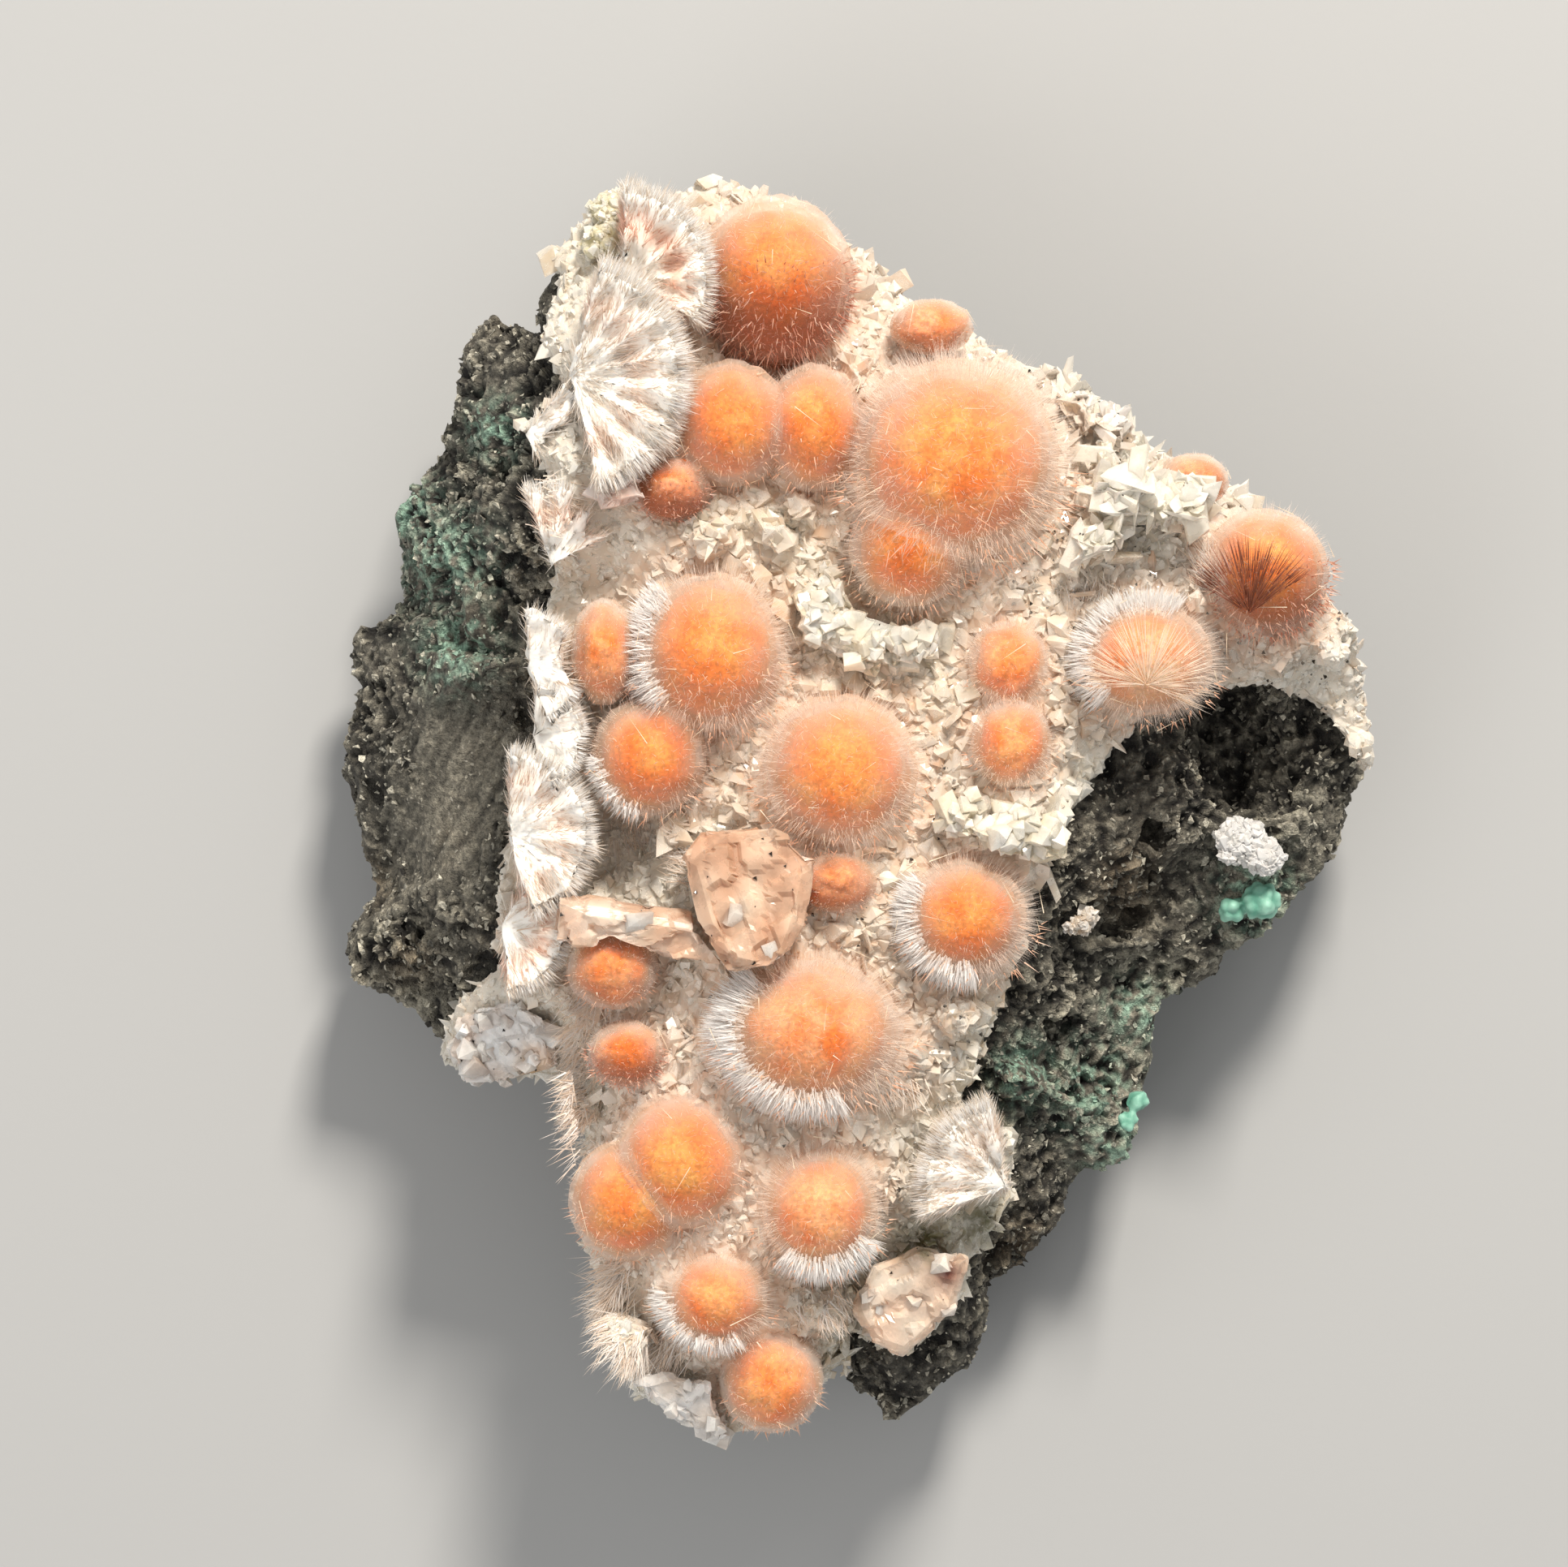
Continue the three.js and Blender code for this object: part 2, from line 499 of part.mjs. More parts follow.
// The balls: name, then for each ball of the group its centre, its three radii and how finely it is made
const balls = [
  ['ball_large_twin', [[[7.0, 25.5, 28.5], [9.9, 9.4, 9.9], 'large'],
    [[3.7, 18.9, 28], [5.6, 5.4, 6.2], 'small']]],
  ['ball_collared', [[[-3.5, -16.6, 28.5], [8.6, 7.1, 7.9], 'medium']]],
  ['ball_centre', [[[-1.4, 2.7, 28.5], [7.2, 7.0, 7.4], 'medium']]],
  ['ball_left_middle', [[[-11, 11.4, 28.5], [6.9, 7.4, 7.0], 'medium']]],
  ['ball_lower_twin', [[[-13.1, -26.1, 26.5], [5.5, 5.6, 6.6], 'medium'],
    [[-17, -29.1, 25.5], [4.9, 5, 6.2], 'medium']]],
  ['ball_top', [[[-6.2, 38.9, 25], [6.4, 6.8, 7.2], 'medium']]],
  ['ball_lower_right', [[[-2.9, -29.7, 27], [5.7, 6, 6], 'medium']]],
  ['ball_upper_tall', [[[-3.3, 27.9, 27], [4.5, 5.6, 6.9], 'medium']]],
  ['ball_upper_left', [[[-9.4, 28.2, 27.5], [4.9, 5.2, 5.8], 'medium']]],
  ['ball_left_low', [[[-15.5, 3.7, 28], [5.1, 5.3, 5.6], 'medium']]],
  ['ball_right_twin', [[[11.2, 4.7, 28], [3.8, 4.2, 4.9], 'small'],
    [[11, 10.6, 27.5], [3.8, 4, 4.2], 'small']]],
  ['ball_cut_right', [[[7.8, -8.1, 28], [6.2, 5.9, 6], 'medium']]],
  ['ball_lower_middle', [[[-10.6, -36.4, 25.5], [5.3, 4.6, 6.2], 'medium']]],
  ['ball_bottom', [[[-6.5, -42.6, 22.5], [4.3, 4.4, 5.8], 'medium']]],
  ['ball_rim_broken', [[[21.1, 10.9, 27], [6.6, 5.6, 6.2], 'medium']]],
  ['ball_rim_dark', [[[30.1, 17.3, 24], [5.6, 5.6, 6.6], 'medium']]],
  ['ball_left_edge', [[[-18.8, 11.4, 28], [2.8, 4.4, 4.6], 'small']]],
  ['ball_left_small', [[[-18.2, -11.9, 28], [3.8, 3.4, 3.8], 'small']]],
  ['ball_left_buried', [[[-17.2, -18.2, 27], [3.3, 2.9, 3.2], 'small']]],
  ['ball_upper_red', [[[-13.8, 23.4, 28], [3.3, 2.7, 3.6], 'small']]],
  ['ball_back_small', [[[5.4, 35.6, 23.5], [3.4, 2.3, 3.2], 'small']]],
  ['ball_rim_pink', [[[24.9, 24.2, 23], [2.9, 2.3, 2.9], 'small']]],
  ['ball_below_centre', [[[-1.6, -5.6, 29], [3.3, 2.6, 3.4], 'small']]],
];

// The split balls: name, heart, radius, heading, spread, rise
const splitBalls = [
  ['fan_top_left', [-17.4, 38.9, 28], 7.0, 28, 60, 3.0],
  ['fan_white_left', [-21.2, 31.6, 29.8], 9.0, 0, 74, 3.2],
  ['fan_upper_edge', [-24.6, 27.4, 27.6], 5.4, -4, 56, 1.8],
  ['fan_cleaved_edge', [-22.6, 17.8, 29], 6.2, 68, 42, 1.6],
  ['fan_left_edge_high', [-24.4, 10.2, 28.6], 4.4, 12, 80, 1.8],
  ['fan_left_edge', [-24, 5.2, 28.4], 4.2, 8, 76, 1.8],
  ['fan_left_edge_low', [-25.8, -2, 28], 6.6, 8, 80, 2.4],
  ['fan_left_foot', [-26.4, -8.8, 27], 5.4, -14, 70, 2.0],
  ['fan_lower_right', [11, -28.2, 25.6], 7.0, 150, 48, 2.6],
];

// Other pieces of the crystal face: name, look, place and radius of its footprint, form
const crystals = [
  ['crystal_cloudy_plate', 'clearCrystal', [-8.2, -6.6, 6.2], (extra) => slab(
    [[-12.9, -3.8], [-11.3, -1.7], [-4.9, -1.5], [-3.1, -3.9], [-3.9, -8.3], [-5.9, -12.6], [-9.6, -11.9],
      [-11.7, -9]], 33.4, 7, 1.1, [0.1, -0.12], extra)],
  ['crystal_long_slab', 'clearCrystal', [-14.5, -9.4, 3], (extra) => crystal(
    [-14.6, -9.3, 30.2], [15.5, 3.2, 2.8], 0.3, [0.35, 0.06, -0.14], extra)],
  ['crystal_blades_upper_right', 'clearCrystal', [19.5, 21.5, 6.5], (extra) => joined([
    blade([16.6, 20.4, 28.4], [3.4, 1.4, 8], [0.5, 0.3, 0.5], extra),
    blade([20, 18, 28.8], [3.4, 1.4, 7.4], [-0.5, 0.5, -0.7], extra),
    blade([19.6, 21.5, 28.6], [3.8, 1.6, 8.8], [-0.4, 0.2, 0.2], extra),
    blade([22.3, 22.4, 27.4], [3.2, 1.4, 8.2], [0.7, 0.6, 1.1], extra),
    blade([18, 24.6, 26.8], [3.4, 1.5, 8], [0.2, -0.6, 1.3], extra)])],
  ['crystal_group_right', 'clearCrystal', [10.3, -2, 5], (extra) => joined([
    crystal([10.7, -2.1, 29.2], [4.6, 3.8, 4.4], 0.42, [0.5, 0.3, 0.5], extra),
    crystal([7.6, -0.9, 28.8], [3.2, 3, 3.6], 0.4, [-0.4, 0.5, 0.9], extra),
    crystal([13.6, -2.6, 28.8], [3.2, 2.8, 3.6], 0.42, [0.3, -0.5, 0.2], extra)])],
  ['crystal_blocks_middle', 'clearCrystal', [-0.3, 12.3, 6], (extra) => joined([
    crystal([-3.4, 13.9, 28.2], [3.8, 3.4, 4], 0.4, [0.4, 0.3, 0.4], extra),
    crystal([0.2, 12.6, 28.1], [4.2, 3.8, 4], 0.4, [-0.5, 0.2, 0.9], extra),
    crystal([3.8, 12.4, 28], [3.4, 3.4, 3.6], 0.42, [0.3, -0.5, 0.2], extra),
    crystal([-0.9, 16.4, 27.9], [3.4, 3.2, 3.6], 0.38, [0.6, 0.5, 1.4], extra)])],
  ['crystal_rim_group', 'clearCrystal', [17, 28.3, 3.4], (extra) => joined([
    crystal([15.8, 28.7, 24.4], [3, 2.6, 3.6], 0.42, [0.4, 0.2, 0.3], extra),
    crystal([18.6, 27.8, 24.1], [3.2, 2.6, 3.8], 0.4, [-0.3, 0.4, 0.8], extra)])],
  ['crystal_pink_plate', 'clearCrystal', [-17.6, 23.4, 2.8], (extra) => slab(
    [[-20, 24.9], [-17.3, 25.5], [-15.7, 22.6], [-18.9, 21.9]], 31.2, 3.4, 0.5, [0.25, -0.35], extra)],
  ['crystal_coated_plate', 'clearCrystal', [4, -36.5, 5.4], (extra) => slab(
    [[-0.6, -37.4], [0.9, -34], [4.4, -32.5], [8.1, -33.5], [7.3, -37.2], [3.3, -40.9], [0.9, -40]],
    23.8, 5, 0.7, [0.12, 0.22], extra)],
  ['crystal_bottom_block', 'clearCrystal', [-13.1, -43.9, 4], (extra) => slab(
    [[-16.7, -42.7], [-14.6, -41.8], [-10.5, -42.2], [-9.6, -44.6], [-9.9, -47.2], [-12.9, -46.1]],
    24.6, 6.5, 0.9, [-0.1, 0.3], extra)],
  ['block_bottom_left', 'clearCrystal', [-26.2, -17, 5], (extra) => slab(
    [[-30.3, -18.3], [-29.3, -20.7], [-27, -20.6], [-22.3, -19.2], [-22.6, -15], [-24.8, -13.4],
      [-27.6, -14.2], [-29.4, -15.8]], 22.4, 6, 1, [0.32, 0.2], extra)],
];

// Round and uneven growths. name, look, x, y and radius of each lump, how far their middles lie over
// the rock, and their height over their width
const growths = [
  ['lumps_cream', 'creamLumps', [[-20.7, 43.5, 1.5], [-18.3, 44.1, 1.8], [-15.9, 44.5, 1.4],
    [-18.9, 41.8, 1.7]], crustThickness + 0.8, 1.3],
  ['spherules_green_right', 'celadonite', [[30.2, -7.1, 1.6], [28.1, -7.6, 1.2]], 0.6, 1],
  ['spherules_green_low', 'celadonite', [[21.0, -22.2, 1], [20.2, -23.7, 0.9]], 0.6, 1],
  ['patch_white', 'zeolite', [[28.6, -2.6, 2], [30.4, -3.7, 1.5]], 0.6, 0.7],
  ['patch_beige', 'zeolite', [[16.4, -8.3, 1.5], [17.8, -7.6, 1.1]], 0.6, 0.7],
];

function growth(lumps, lift, height, extra) {
  return joined(lumps.map(([x, y, radius], k) => {
    const across = radius + extra;
    const centre = [x, y, rockHeight(x, y) + lift];
    return lumpyBall(centre, [across, across, height * radius + extra], 0, 0.07, k + 1);
  }));
}

// Assembly

function middleOf(parts) {
  const x = parts.reduce((sum, part) => sum + part[0][0], 0) / parts.length;
  const y = parts.reduce((sum, part) => sum + part[0][1], 0) / parts.length;
  const reach = parts.map(([[px, py], [rx, ry]]) => Math.hypot(px - x, py - y) + Math.max(rx, ry));
  return [x, y, Math.max(...reach)];
}

const pieces = [];
for (const [name, parts] of balls) {
  const others = balls.filter(([other]) => other !== name).flatMap(([, spheres]) => spheres);
  const shaped = (plane) => ([centre, radii, net], k) => others.reduce(
    (solid, other) => facesOff(solid, [centre, radii], other), spinyBall(centre, radii, net, k + 1, plane));
  pieces.push({
    name,
    look: 'thomsonite',
    feet: parts.map(([[x, y], [rx, ry]]) => [x, y, Math.max(rx, ry)]),
    place: middleOf(parts),
    seat: middleOf(parts),
    form: (plane) => joined(parts.map(shaped(plane))),
    room: () => joined(parts.map(([centre, radii]) => ballRoom(centre, radii))),
  });
}
for (const [name, heart, radius, heading, spread, rise] of splitBalls) {
  const angle = THREE.MathUtils.degToRad(heading);
  const foot = [heart[0] + 0.5 * radius * Math.cos(angle), heart[1] + 0.5 * radius * Math.sin(angle)];
  pieces.push({
    name,
    look: 'mesolite',
    feet: [[...foot, 0.8 * radius]],
    place: [heart[0], heart[1], radius],
    seat: [...foot, 0.6 * radius],
    form: () => splitBall(heart, radius, heading, spread, rise, 0),
    room: () => splitBall(heart, radius, heading, spread, rise, gap),
  });
}
for (const [name, look, place, form] of crystals) {
  pieces.push({
    name,
    look,
    feet: [place],
    place: [place[0], place[1], place[2] + 5],
    seat: [place[0], place[1], 0.8 * place[2]],
    form: () => form(0),
    room: () => form(gap),
  });
}
for (const [name, look, lumps, lift, height] of growths) {
  const [x, y, reach] = middleOf(lumps.map(([px, py, radius]) => [[px, py], [radius, radius]]));
  pieces.push({
    name,
    look,
    feet: [[x, y, reach]],
    place: [x, y, reach + gap],
    seat: [x, y, 0.8 * reach],
    form: () => growth(lumps, lift, height, 0),
    room: () => growth(lumps, lift, height, gap),
  });
}

const group = new THREE.Group();

function addMesh(name, look, solid) {
  const parts = solid.decompose().sort((a, b) => b.volume() - a.volume());
  const mesh = parts[0].getMesh();
  const geometry = new THREE.BufferGeometry();
  geometry.setAttribute('position', new THREE.BufferAttribute(new Float32Array(mesh.vertProperties), 3));
  geometry.setIndex(new THREE.BufferAttribute(new Uint32Array(mesh.triVerts), 1));
  geometry.computeVertexNormals();
  const piece = new THREE.Mesh(geometry, looks[look]);
  piece.name = name;
  group.add(piece);
}

addMesh('basalt_matrix', 'basalt', basalt());

// The crust: a shell over the rock within the band, with larger crystals standing where nothing else does
const crustForm = rockForm(crustReach, crustThickness, crustRoughness, true).intersect(bandPrism());
const feet = pieces.flatMap((piece) => piece.feet);
let draw = 0;
function random() {
  draw += 1;
  return 0.5 + 0.5 * latticeValue(draw, 17, 31);
}
const standing = [];
while (standing.length < crustCrystals && draw < 20000) {
  const [x, y, size] = [78 * random() - 39, 94 * random() - 47, 1.8 + 1.6 * random()];
  const tilts = [0.9 * random() - 0.45, 0.9 * random() - 0.45, 3 * random()];
  const free = feet.every(([fx, fy, radius]) => Math.hypot(x - fx, y - fy) > 0.95 * radius + 0.4 * size);
  const covered = fourWays.every(([i, j]) => inside(band, x + 1.2 * i, y + 1.2 * j));
  const reach = Math.min(...edge.map(([ex, ey]) => Math.hypot(x - ex, y - ey)));
  const apart = standing.every((other) => Math.hypot(x - other.x, y - other.y) > 0.4 * (size + other.size));
  if (free && covered && apart && reach > 1.8 && inside(outline, x, y)) standing.push({ x, y, size, tilts });
}
const stand = ({ x, y, size, tilts }, extra) => pointedCrystal(
  [x, y, rockHeight(x, y) + crustThickness + 0.15 * size], size + extra, tilts);
const crust = standing.reduce((solid, one) => solid.add(stand(one, 0)), crustForm);
addMesh('crystal_crust', 'druse', crust.subtract(bareRock));

// Everything that stands on the crust is cut off where it meets it, and gives way to what came before
const standingRoom = joined(standing.map((one) => stand(one, 2 * gap)));
const placed = [];
for (const piece of pieces) {
  const [x, y, reach] = piece.place;
  const plane = seatPlane(...piece.seat);
  const neighbours = placed.filter(({ look, place }) => (look !== 'thomsonite' || piece.look !== look)
    && Math.hypot(x - place[0], y - place[1]) < reach + place[2]);
  const seated = cutToSeat(piece.form(plane), plane, x, y).subtract(ground).subtract(standingRoom);
  addMesh(piece.name, piece.look, neighbours.reduce((solid, { room }) => solid.subtract(room), seated));
  placed.push({ look: piece.look, place: piece.place, room: piece.room() });
}

// The origin is under the middle of the specimen, on the surface that it rests on
const box = new THREE.Box3().setFromObject(group);
const centre = box.getCenter(new THREE.Vector3());
group.position.set(-centre.x, -centre.y, -box.min.z);

export default group;
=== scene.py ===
import math

import bmesh
import bpy
import numpy as np
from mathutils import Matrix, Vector, noise
from mathutils.bvhtree import BVHTree


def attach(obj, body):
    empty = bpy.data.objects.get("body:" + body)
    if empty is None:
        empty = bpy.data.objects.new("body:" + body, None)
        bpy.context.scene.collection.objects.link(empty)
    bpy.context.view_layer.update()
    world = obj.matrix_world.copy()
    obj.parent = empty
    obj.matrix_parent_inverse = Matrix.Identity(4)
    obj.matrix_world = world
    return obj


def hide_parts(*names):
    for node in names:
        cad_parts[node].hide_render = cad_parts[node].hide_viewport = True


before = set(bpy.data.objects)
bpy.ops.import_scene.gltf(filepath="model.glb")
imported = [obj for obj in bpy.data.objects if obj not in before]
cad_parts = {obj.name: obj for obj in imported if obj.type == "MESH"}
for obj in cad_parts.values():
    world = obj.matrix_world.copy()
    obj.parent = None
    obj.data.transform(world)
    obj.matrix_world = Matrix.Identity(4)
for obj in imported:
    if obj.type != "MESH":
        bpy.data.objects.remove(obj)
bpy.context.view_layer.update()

# The photographer's table
# A plain pale sheet under the rock. The sunlight comes from the upper right of the picture, so a lamp stands
# there, a wide weak one stands opposite, and a white surround lifts the shadows.

MM = 0.001
FRAME_WIDTH = 115.9     # what the picture takes in from side to side at the crystals' height
LENS_HEIGHT = 600.0     # camera over the crystals
CRYSTAL_LEVEL = 26.0    # the height at which the picture's scale was read
PICTURE_MIDDLE = (-5.3, 1.7)


def linear(colour):
    """A colour written as sRGB hex, such as 'E8A05C', as the linear numbers that Blender works with."""
    parts = [int(colour[k:k + 2], 16) / 255 for k in (0, 2, 4)]
    return [c / 12.92 if c <= 0.04045 else ((c + 0.055) / 1.055) ** 2.4 for c in parts] + [1.0]


def add_node(tree, kind, sockets=(), links=(), **properties):
    """Adds a shader node, with what its sockets are set to and its links: (socket, source, its socket)."""
    made = tree.nodes.new(kind)
    for name, value in properties.items():
        setattr(made, name, value)
    for socket, value in dict(sockets).items():
        made.inputs[socket].default_value = value
    for socket, source, output in links:
        tree.links.new(source.outputs[output], made.inputs[socket])
    return made


def new_material(name):
    material = bpy.data.materials.new(name)
    material.use_nodes = True
    material.node_tree.nodes.clear()
    return material, material.node_tree


def finish_material(tree, shader):
    add_node(tree, "ShaderNodeOutputMaterial", links=[("Surface", shader, 0)])


def aim(thing, target):
    thing.rotation_euler = (Vector(target) - thing.location).to_track_quat("-Z", "Y").to_euler()


# Uncoated paper: matt and a little grey. Its felted grain, 0.1 mm, is drawn at 0.8 mm so that it shows.
table_paper, tree = new_material("pale_paper")
coords = add_node(tree, "ShaderNodeTexCoord")
grain = add_node(tree, "ShaderNodeTexNoise", {"Scale": 1 / (0.8 * MM), "Detail": 1.0},
                 [("Vector", coords, "Object")])
relief = add_node(tree, "ShaderNodeBump", {"Strength": 0.1, "Distance": 0.05 * MM},
                  [("Height", grain, "Fac")])
paper = add_node(tree, "ShaderNodeBsdfPrincipled", {"Base Color": linear("B0B2B4"), "Roughness": 0.9},
                 [("Normal", relief, "Normal")])
finish_material(tree, paper)

HALF_SHEET = 0.9
sheet_mesh = bpy.data.meshes.new("table_sheet")
sheet_corners = [(x * HALF_SHEET, y * HALF_SHEET, 0) for x, y in ((-1, -1), (1, -1), (1, 1), (-1, 1))]
sheet_mesh.from_pydata(sheet_corners, [], [(0, 1, 2, 3)])
sheet_mesh.materials.append(table_paper)
table_sheet = bpy.data.objects.new("table_sheet", sheet_mesh)
bpy.context.scene.collection.objects.link(table_sheet)


def lamp(name, place, side, power, colour, target=(0, 0, 0.025)):
    light = bpy.data.lights.new(name, "AREA")
    light.color = linear(colour)[:3]
    light.size = side
    light.energy = power
    made = bpy.data.objects.new(name, light)
    made.location = place
    bpy.context.scene.collection.objects.link(made)
    aim(made, target)


lamp("window_light", (0.14, 0.50, 0.50), 0.14, 6.8, "FFF6E9")
lamp("fill_light", (-0.55, -0.35, 0.6), 0.6, 2.3, "FFFAF4")

surround = bpy.data.worlds.new("white_surround")
surround.use_nodes = True
surround.node_tree.nodes["Background"].inputs["Color"].default_value = linear("F6F4F0")
surround.node_tree.nodes["Background"].inputs["Strength"].default_value = 0.5
bpy.context.scene.world = surround
bpy.context.scene.view_settings.view_transform = "Standard"

camera_data = bpy.data.cameras.new("overhead_camera")
camera_data.sensor_width = 36.0
camera_data.lens = 36.0 * LENS_HEIGHT / FRAME_WIDTH
camera = bpy.data.objects.new("overhead_camera", camera_data)
camera.location = (PICTURE_MIDDLE[0] * MM, PICTURE_MIDDLE[1] * MM, (CRYSTAL_LEVEL + LENS_HEIGHT) * MM)
bpy.context.scene.collection.objects.link(camera)
bpy.context.scene.camera = camera

# The basalt
# The lava that the crystals grew in: fine-grained, nearly black, broken to a cindery surface with pits.
# Its solid is cut into small triangles where it shows, and each corner is moved in or out by the noise
# of a broken face. Celadonite stains it green, and its outer ledge is a lighter grey. Light and shade are
# painted into its colour: its bumps are lighter and its pits darker.

def corners_and_faces(node):
    """A CAD solid's corners in millimetres, each once, and its triangles."""
    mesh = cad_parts[node].data
    mesh.calc_loop_triangles()
    points = np.empty(len(mesh.vertices) * 3)
    mesh.vertices.foreach_get("co", points)
    faces = np.empty(len(mesh.loop_triangles) * 3, int)
    mesh.loop_triangles.foreach_get("vertices", faces)
    points, back = np.unique(np.round(points.reshape(-1, 3) / MM, 4), axis=0, return_inverse=True)
    faces = back.reshape(-1)[faces].reshape(-1, 3)
    whole = (faces[:, 0] != faces[:, 1]) & (faces[:, 1] != faces[:, 2]) & (faces[:, 2] != faces[:, 0])
    return points, faces[whole]


MOST_HALVINGS = 9


def halved(points, faces, longest):
    """Halves edges until nearly all are shorter than longest says for their middle."""
    for _ in range(MOST_HALVINGS):
        pairs = np.sort(faces[:, [[0, 1], [1, 2], [2, 0]]].reshape(-1, 2), axis=1)
        pairs, back = np.unique(pairs, axis=0, return_inverse=True)
        middles = points[pairs].mean(axis=1)
        lengths = np.linalg.norm(points[pairs[:, 0]] - points[pairs[:, 1]], axis=1)
        split = lengths > longest(middles, lengths)
        if not split.any():
            break
        added = np.full(len(pairs), -1)
        added[split] = len(points) + np.arange(split.sum())
        points = np.vstack([points, middles[split]])
        cut = added[back.reshape(-1)].reshape(-1, 3)
        marked = (cut >= 0).sum(axis=1)
        made = [faces[marked == 0]]
        for turn in range(3):
            a, b, c = faces[:, turn], faces[:, (turn + 1) % 3], faces[:, (turn + 2) % 3]
            ab, bc, ca = cut[:, turn], cut[:, (turn + 1) % 3], cut[:, (turn + 2) % 3]
            one = (marked == 1) & (ab >= 0)
            made += [np.stack(t, axis=1)[one] for t in ((a, ab, c), (ab, b, c))]
            two = (marked == 2) & (ca < 0)
            made += [np.stack(t, axis=1)[two] for t in ((ab, b, bc), (a, ab, bc), (a, bc, c))]
            if turn == 0:
                all_three = marked == 3
                made += [np.stack(t, axis=1)[all_three]
                         for t in ((a, ab, ca), (ab, b, bc), (ca, bc, c), (ab, bc, ca))]
        faces = np.vstack(made)
    return points, faces


def outward(points, faces):
    """The direction that the surface faces at each corner."""
    across = np.cross(points[faces[:, 1]] - points[faces[:, 0]], points[faces[:, 2]] - points[faces[:, 0]])
    total = np.stack([np.bincount(faces.reshape(-1), np.repeat(across[:, k], 3), len(points))
                      for k in range(3)], axis=1)
    return total / np.maximum(np.linalg.norm(total, axis=1, keepdims=True), 1e-12)


def eased(points, faces, rounds, share):
    """Draws each corner towards its neighbours, which rounds off the solid's flat facets."""
    pairs = np.unique(np.sort(faces[:, [[0, 1], [1, 2], [2, 0]]].reshape(-1, 2), axis=1), axis=0)
    ends = np.concatenate([pairs[:, 0], pairs[:, 1]])
    others = np.concatenate([pairs[:, 1], pairs[:, 0]])
    count = np.bincount(ends, minlength=len(points))[:, None]
    for _ in range(rounds):
        around = np.stack([np.bincount(ends, points[others, k], len(points)) for k in range(3)], axis=1)
        points = points + share * (around / count - points)
    return points


def put_together(name, shape, material, nodes, smooth=False):
    """Makes a piece of the specimen from its corners in millimetres, their faces and the corners' colours."""
    points, faces, tint = shape
    mesh = bpy.data.meshes.new(name)
    mesh.vertices.add(len(points))
    mesh.vertices.foreach_set("co", (np.asarray(points) * MM).reshape(-1).astype(np.float32))
    mesh.loops.add(faces.size)
    mesh.loops.foreach_set("vertex_index", faces.reshape(-1).astype(np.int32))
    mesh.polygons.add(len(faces))
    mesh.polygons.foreach_set("loop_start", np.arange(0, faces.size, faces.shape[1], dtype=np.int32))
    mesh.polygons.foreach_set("use_smooth", np.full(len(faces), smooth))
    layer = mesh.color_attributes.new("tint", "FLOAT_COLOR", "POINT")
    rgba = tint if tint.shape[1] == 4 else np.hstack([tint, np.ones((len(tint), 1))])
    layer.data.foreach_set("color", rgba.reshape(-1).astype(np.float32))
    mesh.update(calc_edges=True)
    mesh.materials.append(material)
    piece = bpy.data.objects.new(name, mesh)
    bpy.context.scene.collection.objects.link(piece)
    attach(piece, "root")
    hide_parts(*nodes)


def mixed(low, high, share):
    """Colours between two hex colours, or arrays of colours, for an array of shares."""
    low = np.array(linear(low)[:3]) if isinstance(low, str) else low
    high = np.array(linear(high)[:3]) if isinstance(high, str) else high
    return low + (high - low) * np.clip(share, 0, 1)[:, None]


def crust_over(points, within=3.5):
    """True where the crystal crust lies close over a point of the rock."""
    up = Vector((0, 0, 1))
    hits = [crust_tree.ray_cast(Vector(p) - 0.5 * up, up, within)[0] for p in points]
    return np.array([hit is not None for hit in hits], bool)


def near(points, places):
    """How near each point is to some places, 0 to 1. A place is x, y and its radius."""
    share = np.zeros(len(points))
    for x, y, radius in places:
        away = ((points[:, 0] - x) ** 2 + (points[:, 1] - y) ** 2) / radius ** 2
        share = np.maximum(share, np.exp(-away))
    return share


def lumps(points, width, seed):
    """Smooth noise, about -1 to 1, with lumps as wide as width."""
    shift = Vector((seed * 17.3, seed * 5.1, seed * 9.7))
    return np.array([noise.noise(Vector(p) / width + shift) for p in points])


def cells(points, width, seed):
    """Distance to the nearest and the second nearest of scattered seeds, as shares of width."""
    shift = Vector((seed * 3.7, seed * 11.9, seed * 6.3))
    found = [noise.voronoi(Vector(p) / width + shift)[0] for p in points]
    return np.array([f[0] for f in found]), np.array([f[1] for f in found])


# How long the rock's triangles are: where it shows, low on its side, underneath and under the crust
FINE_EDGE, LOW_EDGE, UNDER_EDGE, HIDDEN_EDGE = 0.47, 0.72, 1.3, 1.6
# Places on the rock: x, y and radius
STRIATED_FACE = [(-29.5, 4.4, 4.6), (-31.5, -1.6, 4.4)]
GREEN_STAINS = [(-33.9, 22.5, 2.4), (-30.9, 18.3, 3.2), (-29.7, 11.9, 2.6), (-27, 28, 2.0),
                (17.8, -21.3, 3.0), (30.2, -6.6, 2.6), (20.0, -26, 2.4), (12.5, -20, 2.4),
                (21.5, -15.5, 2.2)]
PALE_LEDGE = [(34.5, -1.2, 3.6), (29.5, -8.6, 4.4), (22.6, -12.4, 4.2), (20.6, -19.2, 4.0),
              (19.2, -25.0, 3.4), (-34.6, -9.6, 3.0), (-32, -14.5, 2.6)]
BROWN_STAINS = [(20.1, -5.8, 2.6), (-33.5, -11.5, 2.0), (13, -34, 3.0), (-37, -6, 2.0)]

crust_points, crust_faces = corners_and_faces("crystal_crust")
crust_tree = BVHTree.FromPolygons([Vector(p) for p in crust_points], crust_faces.tolist())
rock_points, rock_faces = corners_and_faces("basalt_matrix")


